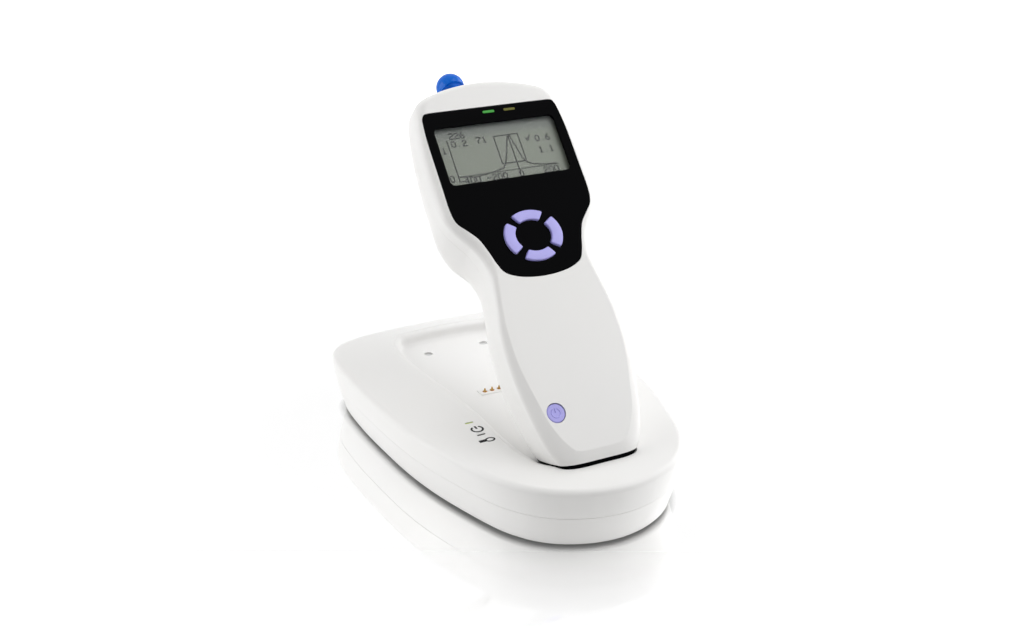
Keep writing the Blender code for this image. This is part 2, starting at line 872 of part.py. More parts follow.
def build_keys():
    """Four arcs with rounded tops; each has a flange under the panel that keeps it in."""
    top = key_flange_top()
    low = top - KEY_FLANGE_THICKNESS
    for name, turn in KEY_TURNS.items():
        loop = key_loop(turn)
        steps = [
            (KEY_FLANGE, low),
            (KEY_FLANGE, top),
            (0, top),
            (0, KEY_STAND - KEY_CORNER * 1.5),
            (-KEY_CORNER * 0.4, KEY_STAND - KEY_CORNER * 0.5),
            (-KEY_CORNER * 1.6, KEY_STAND),
        ]
        key = stacked(name, loop, steps, handset, key_purple)
        centre = ring_point((RING_OUTER_RADIUS + RING_INNER_RADIUS) / 2, turn)
        set_origin(key, (*centre, top))


def build_power_key():
    """A round key whose flange lies under the front shell."""
    x, y = POWER_KEY_PLACE
    top = face_level(y) - POWER_KEY_SINK
    flange_top = face_level(y) - SHELL_WALL - GAP * 2
    loop = circle_loop(POWER_KEY_RADIUS, (x, y))
    steps = [
        (KEY_FLANGE, flange_top - KEY_FLANGE_THICKNESS),
        (KEY_FLANGE, flange_top),
        (0, flange_top),
        (0, top - KEY_CORNER),
        (-KEY_CORNER, top),
    ]
    key = stacked("power_key", loop, steps, handset, key_purple)
    set_origin(key, (x, y, flange_top))
    return flange_top - KEY_FLANGE_THICKNESS


def build_main_board(power_key_foot):
    """Board across the parting plane, with a dome switch under each key."""
    low = -BOARD_DEPTH - BOARD_THICKNESS
    loop = body_loop(-SHELL_WALL - WEB_GAP)
    board = prism("main_board", loop, low, -BOARD_DEPTH, handset, board_green)
    side = HEAD_HALF_WIDTH + OVERRUN
    start, end = (share * HANDSET_LENGTH for share in BOARD_SPAN_SHARES)
    keep_inside(board, slab("cut_board_span", handset, (-side, start, -side), (side, end, side)))
    cut(
        board,
        cylinders(
            "cut_board_posts",
            case_screw_places(),
            WELL_RADIUS + WEB_GAP,
            low - OVERRUN,
            OVERRUN,
            handset,
        ),
    )
    root = -BOARD_DEPTH - BOARD_THICKNESS / 2
    key_foot = key_flange_top() - KEY_FLANGE_THICKNESS - KEY_TRAVEL - GAP
    middle = (RING_OUTER_RADIUS + RING_INNER_RADIUS) / 2
    centres = [ring_point(middle, turn) for turn in KEY_TURNS.values()]
    join(board, cylinders("cut_switches", centres, SWITCH_RADIUS, root, key_foot, handset))
    power_foot = power_key_foot - KEY_TRAVEL - GAP
    switch = cylinder(
        "cut_power_switch", SWITCH_RADIUS, root, power_foot, POWER_KEY_PLACE, handset, sides=12
    )
    return join(board, switch)


# Battery and its door


def door_loop(growth):
    loop = box_loop(DOOR_HALF_WIDTH, DOOR_LENGTH / 2, DOOR_CORNER, (0, BATTERY_CENTRE))
    return grown(loop, growth) if growth else loop


def below_board():
    return -BOARD_DEPTH - BOARD_THICKNESS - GAP


def build_battery():
    half_width = DOOR_HALF_WIDTH - BATTERY_MARGIN
    half_length = DOOR_LENGTH / 2 - BATTERY_MARGIN
    loop = box_loop(half_width, half_length, BATTERY_CORNER, (0, BATTERY_CENTRE))
    top = below_board()
    prism(
        "battery_pack", loop, top - BATTERY_THICKNESS, top, handset, battery_blue, BATTERY_CORNER / 4
    )
    door = half_shell("battery_door", back_rings(start=-PARTING_DEPTH - GAP / 2), white)
    low = -HEAD_DEPTH - OVERRUN
    high = -PARTING_DEPTH - SHELL_WALL - OVERRUN / 2
    keep_inside(door, prism("cut_door_piece", door_loop(-GAP), low, high, handset))
    set_origin(door, (0, BATTERY_CENTRE, -HANDLE_DEPTH))


# Screws


def screw(name, place, level, reach, parent):
    """A pan-head screw driven in from below; its head's flat side lies on the level."""
    profile = [
        (0, SCREW_HEAD_HEIGHT - SCREW_SOCKET_DEPTH),
        (SCREW_SOCKET_RADIUS * 0.8, SCREW_HEAD_HEIGHT - SCREW_SOCKET_DEPTH),
        (SCREW_SOCKET_RADIUS, SCREW_HEAD_HEIGHT),
        (SCREW_HEAD_RADIUS * 0.8, SCREW_HEAD_HEIGHT),
        (SCREW_HEAD_RADIUS, SCREW_HEAD_HEIGHT / 2),
        (SCREW_HEAD_RADIUS, 0),
        (SCREW_SHAFT_RADIUS, 0),
        (SCREW_SHAFT_RADIUS, -reach + SCREW_SHAFT_RADIUS),
        (0, -reach),
    ]
    made = turned(name, profile, parent, steel, sides=SMALL_SIDES)
    made.location = (*place, level)
    made.rotation_euler = (math.pi, 0, 0)


def build_case_screws():
    level = -PARTING_DEPTH - GAP * 1.5 - WELL_FLOOR
    reach = PARTING_DEPTH * 0.7
    for number, place in enumerate(case_screw_places(), 1):
        screw(f"case_screw_{number}", place, level, reach, handset)


# Pump and air line


def build_pump():
    top = below_board()
    y = PUMP_CENTRE_SHARE * HANDSET_LENGTH
    half = PUMP_FRAME_LENGTH / 2
    low = top - PUMP_FRAME_THICKNESS
    loop = box_loop(PUMP_FRAME_HALF_WIDTH, half, BLOCK_CORNER, (0, y), 2)
    prism("pump_frame", loop, low, top, handset, frame_grey, BLOCK_CORNER / 2)
    profile = [
        (0, PUMP_MOTOR_LENGTH + GAP),
        (PUMP_MOTOR_RADIUS * 0.55, PUMP_MOTOR_LENGTH + GAP),
        (PUMP_MOTOR_RADIUS * 0.6, PUMP_MOTOR_LENGTH * 0.92),
        (PUMP_MOTOR_RADIUS, PUMP_MOTOR_LENGTH * 0.9),
        (PUMP_MOTOR_RADIUS, GAP),
        (0, GAP),
    ]
    motor = turned("pump_motor", profile, handset, steel)
    motor.location = (0, y, low - GAP - PUMP_MOTOR_RADIUS)
    motor.rotation_euler = (0, -math.pi / 2, 0)
    neck = PUMP_BARREL_RADIUS * 0.45
    profile = [
        (0, PUMP_BARREL_LENGTH),
        (neck, PUMP_BARREL_LENGTH),
        (neck, PUMP_BARREL_LENGTH * 0.85),
        (PUMP_BARREL_RADIUS, PUMP_BARREL_LENGTH * 0.8),
        (PUMP_BARREL_RADIUS, GAP),
        (0, GAP),
    ]
    barrel = turned("pump_cylinder", profile, handset, brass)
    barrel.location = (0, y, low - GAP - PUMP_BARREL_RADIUS)
    barrel.rotation_euler = (0, math.pi / 2, 0)


def valve_centre():
    return Vector(
        (0, VALVE_CENTRE_SHARE * HANDSET_LENGTH, below_board() - VALVE_DEPTH * 0.65)
    )


def build_valve_block():
    top = below_board()
    y = VALVE_CENTRE_SHARE * HANDSET_LENGTH
    loop = box_loop(VALVE_HALF_WIDTH, VALVE_LENGTH / 2, BLOCK_CORNER, (0, y), 2)
    prism("valve_block", loop, top - VALVE_DEPTH, top, handset, frame_grey, BLOCK_CORNER / 2)


def build_air_tube():
    """A soft tube from the valve block to the root of the probe."""
    along = Vector((0, math.cos(PROBE_ANGLE), -math.sin(PROBE_ANGLE)))
    end = probe_seat() - along * (PROBE_BODY_ROOT + GAP)
    start = valve_centre() + Vector((0, VALVE_LENGTH / 2 + GAP, 0))
    reach = (end - start).length / 3
    near = start + Vector((0, reach, 0))
    far = end - along * reach
    curve = bpy.data.curves.new("air_tube", "CURVE")
    curve.dimensions = "3D"
    curve.bevel_depth = TUBE_RADIUS
    curve.bevel_resolution = 2
    curve.use_fill_caps = True
    spline = curve.splines.new("POLY")
    steps = 6
    spline.points.add(steps)
    for step in range(steps + 1):
        t = step / steps
        point = start * (1 - t) ** 3 + near * 3 * t * (1 - t) ** 2
        point += far * 3 * t**2 * (1 - t) + end * t**3
        spline.points[step].co = (*point, 1)
    tube = bpy.data.objects.new("air_tube", curve)
    parts.objects.link(tube)
    tube.parent = handset
    curve.materials.append(rubber_grey)


# Probe


def probe_seat():
    return Vector((0, HANDSET_LENGTH - PROBE_SETBACK, -PROBE_DEPTH))


def build_probe():
    """Probe body, screw-on nose cone, probe tip and ear tip, all turned about the probe's axis."""
    reach = PROBE_BODY_REACH
    turned(
        "probe_body",
        [
            (PROBE_BODY_RADIUS * 0.93, reach),
            (PROBE_BODY_RADIUS, reach - GAP * 3),
            (PROBE_BODY_RADIUS, -PROBE_BODY_ROOT),
            (PROBE_BORE_RADIUS, -PROBE_BODY_ROOT),
            (PROBE_BORE_RADIUS, reach),
        ],
        probe,
        white,
        closed=True,
    )
    low = reach + GAP
    high = low + NOSE_LENGTH
    turned(
        "nose_cone",
        [
            (NOSE_FRONT_RADIUS - NOSE_WALL * 0.4, high),
            (NOSE_FRONT_RADIUS, high - NOSE_WALL * 0.4),
            (NOSE_FRONT_RADIUS * 1.2, low + NOSE_LENGTH * 0.7),
            (NOSE_BASE_RADIUS * 0.9, low + NOSE_LENGTH * 0.3),
            (NOSE_BASE_RADIUS, low + NOSE_LENGTH * 0.1),
            (NOSE_BASE_RADIUS, low),
            (NOSE_BASE_RADIUS - NOSE_WALL, low),
            (NOSE_BASE_RADIUS - NOSE_WALL, low + TIP_FLANGE_THICKNESS * 1.6),
            (NOSE_FRONT_RADIUS - NOSE_WALL, low + NOSE_LENGTH * 0.8),
            (NOSE_FRONT_RADIUS - NOSE_WALL, high),
        ],
        probe,
        white,
        closed=True,
    )
    turned(
        "probe_tip",
        [
            (TIP_RADIUS * 0.7, TIP_REACH),
            (TIP_RADIUS, TIP_REACH - TIP_RADIUS / 2),
            (TIP_RADIUS, low + TIP_FLANGE_THICKNESS),
            (TIP_FLANGE_RADIUS, low + TIP_FLANGE_THICKNESS),
            (TIP_FLANGE_RADIUS, low),
            (PROBE_BORE_RADIUS / 2, low),
            (PROBE_BORE_RADIUS / 2, TIP_REACH),
        ],
        probe,
        grey_plastic,
        closed=True,
        sides=SMALL_SIDES,
    )
    build_ear_tip(high + GAP)


def build_ear_tip(low):
    """A soft mushroom with a bore for the probe tip: dome, skirt and stem."""
    radius = EAR_TIP_RADIUS
    bore = TIP_RADIUS + GAP
    middle = low + radius
    steps = 6
    start = math.acos(bore / radius)
    dome = []
    for step in range(steps + 1):
        turn = start - (start + math.radians(25)) * step / steps
        dome.append((radius * math.cos(turn), middle + radius * math.sin(turn)))
    skirt = [
        (radius * EAR_TIP_WALL_SHARE, low + radius * 0.2),
        (radius * EAR_TIP_WALL_SHARE, low),
        (bore, low),
    ]
    made = turned("ear_tip", dome + skirt, probe, blue_rubber, closed=True)
    return made


# Charging contacts


def strip_place():
    return (0, STRIP_SHARE * HANDSET_LENGTH)


def build_charge_strip():
    """Insulating plate with the charging pads, flush in the handset's back."""
    strip = half_shell("charge_strip", back_rings(start=-PARTING_DEPTH - GAP / 2), grey_plastic)
    loop = box_loop(
        STRIP_HALF_WIDTH - GAP, STRIP_HALF_HEIGHT - GAP, BLOCK_CORNER, strip_place()
    )
    low = -HEAD_DEPTH - OVERRUN
    high = -PARTING_DEPTH - SHELL_WALL - OVERRUN / 2
    keep_inside(strip, prism("cut_strip_piece", loop, low, high, handset))


# Cradle


def wall_inset(z):
    """How far the cradle's wall lies inside its widest outline at a height."""
    return CRADLE_TUCK * (1 - min(z / CRADLE_HEIGHT, 1)) ** CRADLE_TUCK_POWER


def top_rings():
    """Wall from the seam up, rounded rim, then the gently crowned top."""
    loop = cradle_loop()
    low = CRADLE_SEAM_HEIGHT + GAP / 2
    rim = CRADLE_HEIGHT - CRADLE_RIM_RADIUS
    rings = []
    for z in (low, rim):
        rings.append(ring(grown(loop, -wall_inset(z)), z))
    inset = wall_inset(rim)
    for step in range(1, 4):
        turn = math.pi / 2 * step / 3
        inner = grown(loop, -inset - CRADLE_RIM_RADIUS * (1 - math.cos(turn)))
        rings.append(ring(inner, rim + CRADLE_RIM_RADIUS * math.sin(turn)))
    for share in (0.6, 0.0):
        rings.append(ring(to_spine(inner, share), CRADLE_HEIGHT + CRADLE_CROWN * (1 - share**2)))
    return rings


def base_rings():
    """Underside, rounded bottom edge, then the wall up to the seam."""
    loop = cradle_loop()
    high = CRADLE_SEAM_HEIGHT - GAP / 2
    low = FOOT_STANDOFF + CRADLE_BOTTOM_RADIUS
    rings = [ring(to_spine(grown(loop, -CRADLE_TUCK * 2)), FOOT_STANDOFF)]
    for step in range(3):
        turn = math.pi / 2 * step / 2
        inset = wall_inset(low) + CRADLE_BOTTOM_RADIUS * (1 - math.sin(turn))
        z = low - CRADLE_BOTTOM_RADIUS * math.cos(turn)
        rings.append(ring(grown(loop, -inset), z))
    for z in ((low + high) / 2, high):
        rings.append(ring(grown(loop, -wall_inset(z)), z))
    return rings


def tray_loop():
    return mirrored(smooth_half(TRAY_OUTLINE_SHARES, CRADLE_HALF_WIDTH, CRADLE_LENGTH))


def tray_floor():
    return CRADLE_HEIGHT - TRAY_DEPTH


def build_cradle_top():
    """Top shell with a tray for the lying handset and a slanted pocket that the foot stands in."""
    top = walled(lofted("cradle_top", top_rings(), cradle, white, caps=(False, False)))
    under = CRADLE_HEIGHT - SHELL_WALL / 2
    floor = tray_floor()
    tray_tub = prism("cut_tray_tub", grown(tray_loop(), SHELL_WALL), floor - SHELL_WALL, under, cradle)
    pocket_tub = body_solid("cut_pocket_tub", POCKET_GAP + SHELL_WALL)
    side = CRADLE_HALF_WIDTH + OVERRUN
    keep_inside(
        pocket_tub,
        slab("cut_under_top", cradle, (-side, -side, 0), (side, CRADLE_LENGTH, under)),
    )
    places = cradle_places(BASE_SCREW_SHARES)
    posts = cylinders("cut_top_posts", places, POST_RADIUS, BASE_BOSS_TOP + GAP, under, cradle)
    join(top, tray_tub, pocket_tub, posts)
    edge = TRAY_EDGE
    tray = stacked(
        "cut_tray",
        tray_loop(),
        [
            (-edge * 1.3, floor),
            (-edge * 0.5, floor + edge * 0.25),
            (-edge * 0.15, floor + edge * 0.7),
            (0, CRADLE_HEIGHT - edge * 0.8),
            (edge * 0.3, CRADLE_HEIGHT - edge * 0.2),
            (edge * 0.9, CRADLE_HEIGHT + edge * 0.12),
            (edge * 0.9 + OVERRUN, CRADLE_HEIGHT + OVERRUN),
        ],
        cradle,
    )
    pocket = body_solid("cut_pocket", POCKET_GAP)
    pilots = cylinders(
        "cut_top_pilots",
        places,
        SCREW_SHAFT_RADIUS + GAP / 2,
        BASE_BOSS_TOP - OVERRUN,
        BASE_BOSS_TOP + BASE_SCREW_LENGTH,
        cradle,
    )
    cut(top, tray, pocket, pilots)
    block = block_loop(GAP)
    cut(top, prism("cut_block", block, floor - SHELL_WALL - OVERRUN, floor + OVERRUN, cradle))
    pads = cylinders(
        "cut_rest_pads",
        rest_pad_places(),
        REST_PAD_RADIUS + GAP,
        floor - REST_PAD_SINK - REST_PAD_THICKNESS,
        floor + OVERRUN,
        cradle,
    )
    lights = [
        prism(name, cradle_light_loop(share, GAP / 2), CRADLE_HEIGHT / 2, CRADLE_HEIGHT * 2, cradle)
        for name, share in CRADLE_LIGHT_SHARES.items()
    ]
    return cut(top, pads, group("cut_cradle_lights", lights, cradle))


def build_cradle_base():
    rings = base_rings()
    base = walled(lofted("cradle_base", rings, cradle, white, caps=(False, False)))
    floor = FOOT_STANDOFF + SHELL_WALL
    screws = cradle_places(BASE_SCREW_SHARES)
    join(
        base,
        cylinders(
            "cut_base_bosses",
            screws,
            BASE_BOSS_RADIUS,
            floor - SHELL_WALL / 2,
            BASE_BOSS_TOP,
            cradle,
        ),
        cylinders(
            "cut_standoffs",
            cradle_places(STANDOFF_SHARES),
            STANDOFF_RADIUS,
            floor - SHELL_WALL / 2,
            CHARGER_TOP - CHARGER_THICKNESS - GAP,
            cradle,
        ),
    )
    cut(
        base,
        cylinders(
            "cut_base_wells",
            screws,
            SCREW_HEAD_RADIUS + GAP * 2,
            -OVERRUN,
            BASE_BOSS_TOP - BASE_BOSS_FLOOR,
            cradle,
        ),
        cylinders(
            "cut_base_holes",
            screws,
            SCREW_SHAFT_RADIUS + GAP,
            0,
            BASE_BOSS_TOP + OVERRUN,
            cradle,
        ),
        cylinders(
            "cut_foot_seats",
            cradle_places(PAD_FOOT_SHARES),
            PAD_FOOT_RADIUS + GAP,
            -OVERRUN,
            PAD_FOOT_THICKNESS + GAP,
            cradle,
            ROUND_SIDES,
        ),
    )
    ports = [
        slab(
            "port",
            cradle,
            (x - half - GAP, CRADLE_LENGTH - SOCKET_LENGTH, socket_low() - GAP),
            (x + half + GAP, CRADLE_LENGTH + OVERRUN, socket_low() + height + GAP),
        )
        for x, half, height in (
            (POWER_SOCKET_X, POWER_SOCKET_HALF_WIDTH, SOCKET_HEIGHT),
            (DATA_SOCKET_X, DATA_SOCKET_HALF_WIDTH, DATA_SLOT_HEIGHT + DATA_SOCKET_WALL * 2),
        )
    ]
    return cut(base, group("cut_ports", ports, cradle))


def socket_low():
    return CHARGER_TOP - CHARGER_THICKNESS - GAP - SOCKET_HEIGHT


def rest_pad_places():
    x, y = REST_PAD_PLACE
    return [(x, y), (-x, y)]


def cradle_light_loop(share, growth):
    half = CRADLE_LIGHT_WIDTH / 2 + growth
    place = cradle_places([share])[0]
    return box_loop(CRADLE_LIGHT_LENGTH / 2 + growth, half, half * 0.8, place, 2)


def block_loop(growth):
    half_width = PIN_PITCH * (PIN_COUNT - 1) / 2 + BLOCK_HALF_LENGTH
    return box_loop(
        half_width + growth, BLOCK_HALF_LENGTH + growth, BLOCK_CORNER, (0, PIN_ROW), 2
    )


def build_contacts():
    """Contact block in the tray's floor, with a sprung pin in each of its bores."""
    top = tray_floor() + BLOCK_STAND
    low = CHARGER_TOP + GAP
    block = prism("contact_block", block_loop(0.0), low, top, cradle, white, BLOCK_CORNER / 3)
    places = [(PIN_PITCH * (i - (PIN_COUNT - 1) / 2), PIN_ROW) for i in range(PIN_COUNT)]
    bores = cylinders(
        "cut_pin_bores", places, PIN_RADIUS + GAP, low - OVERRUN, top + OVERRUN, cradle
    )
    cut(block, bores)
    foot = low + PIN_TRAVEL
    for number, place in enumerate(places, 1):
        profile = [
            (0, PIN_STAND),
            (PIN_TIP_RADIUS, PIN_STAND),
            (PIN_RADIUS * 0.9, PIN_STAND * 0.35),
            (PIN_RADIUS, PIN_STAND * 0.2),
            (PIN_RADIUS, foot - top),
            (0, foot - top),
        ]
        pin = turned(f"contact_pin_{number}", profile, cradle, gold, sides=SMALL_SIDES)
        pin.location = (*place, top)
    start, end = CHARGER_SPAN
    loop = box_loop(
        CHARGER_HALF_WIDTH, (end - start) / 2, CHARGER_CORNER, (0, (start + end) / 2), 2
    )
    prism("charger_board", loop, CHARGER_TOP - CHARGER_THICKNESS, CHARGER_TOP, cradle, board_green)


def build_rest_pads():
    top = tray_floor() - REST_PAD_SINK
    for number, place in enumerate(rest_pad_places(), 1):
        low = top - REST_PAD_THICKNESS + GAP
        cylinder(
            f"rest_pad_{number}", REST_PAD_RADIUS, low, top, place, cradle, rubber_grey, SMALL_SIDES
        )


def build_cradle_lights():
    top = CRADLE_HEIGHT + CRADLE_CROWN * 0.4
    for name, share in CRADLE_LIGHT_SHARES.items():
        glow = green_light if name == "mains_light" else dark_light
        loop = cradle_light_loop(share, 0.0)
        prism(name, loop, top - CRADLE_LIGHT_DEPTH, top, cradle, glow, PANEL_CHAMFER / 2)


def build_sockets():
    """Mains adaptor socket with its centre pin, and a small data socket, both facing back."""
    low = socket_low()
    back = CRADLE_LENGTH - wall_inset(low) - SOCKET_SINK
    front = back - SOCKET_LENGTH
    half = POWER_SOCKET_HALF_WIDTH
    high = low + SOCKET_HEIGHT
    power = slab(
        "power_socket",
        cradle,
        (POWER_SOCKET_X - half, front, low),
        (POWER_SOCKET_X + half, back, high),
        black_plastic,
    )
    bore = turned(
        "bore",
        [
            (POWER_SOCKET_BORE, OVERRUN),
            (POWER_SOCKET_BORE, -POWER_SOCKET_BORE_DEPTH),
            (POWER_SOCKET_PIN, -POWER_SOCKET_BORE_DEPTH),
            (POWER_SOCKET_PIN, OVERRUN),
        ],
        cradle,
        None,
        closed=True,
    )
    bore.location = (POWER_SOCKET_X, back, (low + high) / 2)
    bore.rotation_euler = (-math.pi / 2, 0, 0)
    cut(power, bore)
    half = DATA_SOCKET_HALF_WIDTH
    wall = DATA_SOCKET_WALL
    high = low + DATA_SLOT_HEIGHT + wall * 2
    data = slab(
        "data_socket",
        cradle,
        (DATA_SOCKET_X - half, front, low),
        (DATA_SOCKET_X + half, back, high),
        steel,
    )
    slot = slab(
        "cut_data_slot",
        cradle,
        (DATA_SOCKET_X - half + wall, back - DATA_SLOT_DEPTH, low + wall),
        (DATA_SOCKET_X + half - wall, back + OVERRUN, high - wall),
    )
    tongue = slab(
        "cut_data_tongue",
        cradle,
        (DATA_SOCKET_X - half / 2, back - DATA_SLOT_DEPTH - wall, low + wall * 2),
        (DATA_SOCKET_X + half / 2, back - wall, low + wall * 3.4),
    )
    cut(data, slot)
    join(data, tongue)


def build_ballast():
    loop = box_loop(
        BALLAST_HALF_WIDTH, BALLAST_LENGTH / 2, BALLAST_CORNER, (0, BALLAST_CENTRE)
    )
    low = FOOT_STANDOFF + SHELL_WALL + GAP
    prism("ballast_plate", loop, low, low + BALLAST_THICKNESS, cradle, steel, BALLAST_CORNER / 8)


def build_feet():
    for number, place in enumerate(cradle_places(PAD_FOOT_SHARES), 1):
        cylinder(
            f"foot_{number}", PAD_FOOT_RADIUS, 0.0, PAD_FOOT_THICKNESS, place, cradle, rubber_grey
        )


def build_base_screws():
    level = BASE_BOSS_TOP - BASE_BOSS_FLOOR - GAP
    for number, place in enumerate(cradle_places(BASE_SCREW_SHARES), 1):
        screw(f"base_screw_{number}", place, level, BASE_SCREW_LENGTH, cradle)


clear_scene()
parts = collection(NAME)
cutters = collection(NAME + "_cutters")

white = material("white_plastic", (0.86, 0.86, 0.85), 0.4)
black_gloss = material("black_gloss", (0.006, 0.006, 0.007), 0.08)
black_plastic = material("black_plastic", (0.02, 0.02, 0.022), 0.45)
clear = material("clear_lens", (0.95, 0.96, 0.95), 0.05, transmission=0.9)
screen_grey = material("screen_grey", (0.42, 0.46, 0.38), 0.35)
key_purple = material("key_purple", (0.44, 0.4, 0.78), 0.4)
green_light = material("green_light", (0.25, 0.85, 0.2), 0.3, glow=1.0)
yellow_light = material("yellow_light", (0.45, 0.42, 0.05), 0.3, glow=0.3)
dark_light = material("dark_light", (0.03, 0.03, 0.03), 0.3)
board_green = material("board_green", (0.02, 0.18, 0.07), 0.5)
battery_blue = material("battery_blue", (0.05, 0.12, 0.35), 0.5)
frame_grey = material("frame_grey", (0.35, 0.36, 0.37), 0.5)
grey_plastic = material("grey_plastic", (0.3, 0.31, 0.32), 0.45)
rubber_grey = material("rubber_grey", (0.12, 0.12, 0.13), 0.8)
blue_rubber = material("blue_rubber", (0.01, 0.16, 0.65), 0.15)
gold = material("gold", (0.83, 0.58, 0.2), 0.25, metallic=1.0)
brass = material("brass", (0.7, 0.52, 0.25), 0.3, metallic=1.0)
steel = material("steel", (0.6, 0.6, 0.6), 0.35, metallic=1.0)

cradle = frame("cradle_frame", Matrix.Translation((0, -CRADLE_LENGTH / 2, 0)))
handset = frame(
    "handset_frame",
    Matrix.Translation((0, LEAN_SETBACK, CRADLE_HEIGHT + LEAN_RISE))
    @ Matrix.Rotation(LEAN_ANGLE, 4, "X"),
    cradle,
)
foot = frame(
    "foot_frame",
    Matrix.Translation((0, *FOOT_SPLIT)) @ Matrix.Rotation(FOOT_SPLIT_TILT, 4, "X"),
    handset,
)
probe = frame(
    "probe_frame",
    Matrix.Translation(probe_seat()) @ Matrix.Rotation(-math.pi / 2 - PROBE_ANGLE, 4, "X"),
    handset,
)

build_front_shell()
build_back_shell()
build_foot_window()
build_panel()
build_screen()
build_lights()
build_keys()
build_main_board(build_power_key())
build_battery()
build_case_screws()
build_pump()
build_valve_block()
build_air_tube()
build_probe()
build_charge_strip()
build_cradle_top()
build_cradle_base()
build_contacts()
build_rest_pads()
build_cradle_lights()
build_sockets()
build_ballast()
build_feet()
build_base_screws()
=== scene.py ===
"""Looks of the tympanometer in its charging cradle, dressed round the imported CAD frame.

Pieces are modelled in the same local spaces as the CAD: the cradle from the tip of its front end,
the handset flat with its face up, the probe along its own axis. Metres throughout.
"""

import json
import math

import bmesh
import bpy
from mathutils import Matrix, Vector
from mathutils.bvhtree import BVHTree

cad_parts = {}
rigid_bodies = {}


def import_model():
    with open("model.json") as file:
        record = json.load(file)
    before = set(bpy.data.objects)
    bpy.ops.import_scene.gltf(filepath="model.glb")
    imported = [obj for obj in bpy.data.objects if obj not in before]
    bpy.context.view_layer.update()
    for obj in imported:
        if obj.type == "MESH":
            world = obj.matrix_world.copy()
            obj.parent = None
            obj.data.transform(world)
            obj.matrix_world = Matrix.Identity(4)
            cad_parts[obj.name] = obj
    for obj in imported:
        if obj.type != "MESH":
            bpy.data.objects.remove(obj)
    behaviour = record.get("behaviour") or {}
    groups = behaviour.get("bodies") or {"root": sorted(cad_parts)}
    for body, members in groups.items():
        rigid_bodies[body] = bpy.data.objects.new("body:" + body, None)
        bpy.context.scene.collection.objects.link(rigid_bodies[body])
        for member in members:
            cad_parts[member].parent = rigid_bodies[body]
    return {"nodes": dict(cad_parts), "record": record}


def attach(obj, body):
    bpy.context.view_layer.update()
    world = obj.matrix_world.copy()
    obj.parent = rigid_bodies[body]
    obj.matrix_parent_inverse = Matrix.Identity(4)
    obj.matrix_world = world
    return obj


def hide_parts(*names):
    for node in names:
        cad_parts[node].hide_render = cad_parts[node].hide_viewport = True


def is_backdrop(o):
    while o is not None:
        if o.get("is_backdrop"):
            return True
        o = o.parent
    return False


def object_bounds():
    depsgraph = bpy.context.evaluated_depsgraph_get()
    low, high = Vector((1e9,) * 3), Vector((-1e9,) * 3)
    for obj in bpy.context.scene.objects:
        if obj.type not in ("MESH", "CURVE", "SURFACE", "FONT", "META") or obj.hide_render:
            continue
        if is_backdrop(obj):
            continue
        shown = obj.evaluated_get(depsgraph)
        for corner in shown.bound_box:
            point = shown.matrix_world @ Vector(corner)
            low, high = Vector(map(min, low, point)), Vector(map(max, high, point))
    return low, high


for thing in list(bpy.data.objects):
    bpy.data.objects.remove(thing)
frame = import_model()
CAD_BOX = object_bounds()

# Sizes shared with the CAD
GAP = 0.0003
OVERRUN = 0.004
SHELL_WALL = 0.0024
CRADLE_LENGTH = 0.2025
CRADLE_HALF_WIDTH = 0.0673
CRADLE_HEIGHT = 0.0307
CRADLE_OUTLINE_SHARES = (
    (0.0, 0.0), (0.21, 0.01), (0.4, 0.037), (0.535, 0.071),
    (0.64, 0.114), (0.738, 0.178), (0.852, 0.3), (0.925, 0.405),
    (0.968, 0.513), (0.996, 0.667), (1.0, 0.765), (0.985, 0.864),
    (0.93, 0.93), (0.82, 0.967), (0.62, 0.989), (0.33, 0.998),
    (0.0, 1.0),
)
CRADLE_TUCK = 0.0064
CRADLE_TUCK_POWER = 1.6
CRADLE_RIM_RADIUS = 0.003
CRADLE_CROWN = 0.001
CRADLE_SEAM_HEIGHT = 0.0165
CRADLE_BOTTOM_RADIUS = 0.002
FOOT_STANDOFF = 0.0012
LEAN_ANGLE = math.radians(48.0)
LEAN_SETBACK = 0.0746 * CRADLE_LENGTH
LEAN_RISE = 0.0042
POCKET_GAP = 0.0006
HANDSET_LENGTH = 0.190
HEAD_HALF_WIDTH = 0.0395
HEAD_DEPTH = 0.038
HANDLE_DEPTH = 0.0325
PARTING_DEPTH = 0.010
FACE_EDGE_RADIUS = 0.0045
FACE_DROP = 0.004
FLAT_FACE_SHARE = 0.58
FOOT_SPLIT = (0.0021, -0.0044)
FOOT_SPLIT_TILT = math.radians(30)
NECK_SHARES = (0.41, 0.57)
NECK_SLIDE = 0.0105
BACK_POWER_SHARES = (
    (0.0, 3.0), (0.44, 3.0), (0.572, 2.37), (0.607, 2.85),
    (0.7, 2.22), (0.85, 1.92), (1.0, 2.0),
)
HEAD_END_ROUND = 0.012
FOOT_END_ROUND = 0.005
SPINE_SHARE = 0.86
BODY_OUTLINE_SHARES = (
    (0.0, -0.003), (0.24, -0.002), (0.38, 0.006), (0.475, 0.021),
    (0.545, 0.043), (0.61, 0.077), (0.672, 0.128), (0.75, 0.237),
    (0.752, 0.342), (0.69, 0.421), (0.652, 0.484), (0.672, 0.521),
    (0.742, 0.558), (0.842, 0.589), (0.935, 0.621), (0.985, 0.658),
    (1.0, 0.737), (0.99, 0.816), (0.945, 0.884), (0.896, 0.926),
    (0.82, 0.951), (0.66, 0.967), (0.36, 0.982), (0.0, 0.989),
)
PANEL_THICKNESS = 0.0012
PANEL_OUTLINE_SHARES = (
    (0.0, 0.461), (0.2, 0.464), (0.36, 0.472), (0.482, 0.486),
    (0.545, 0.511), (0.59, 0.541), (0.66, 0.576), (0.765, 0.602),
    (0.858, 0.626), (0.89, 0.661), (0.89, 0.72), (0.888, 0.83),
    (0.87, 0.885), (0.85, 0.903), (0.80, 0.911), (0.6, 0.912),
    (0.0, 0.912),
)
SCREEN_HALF_WIDTH = 0.775 * HEAD_HALF_WIDTH
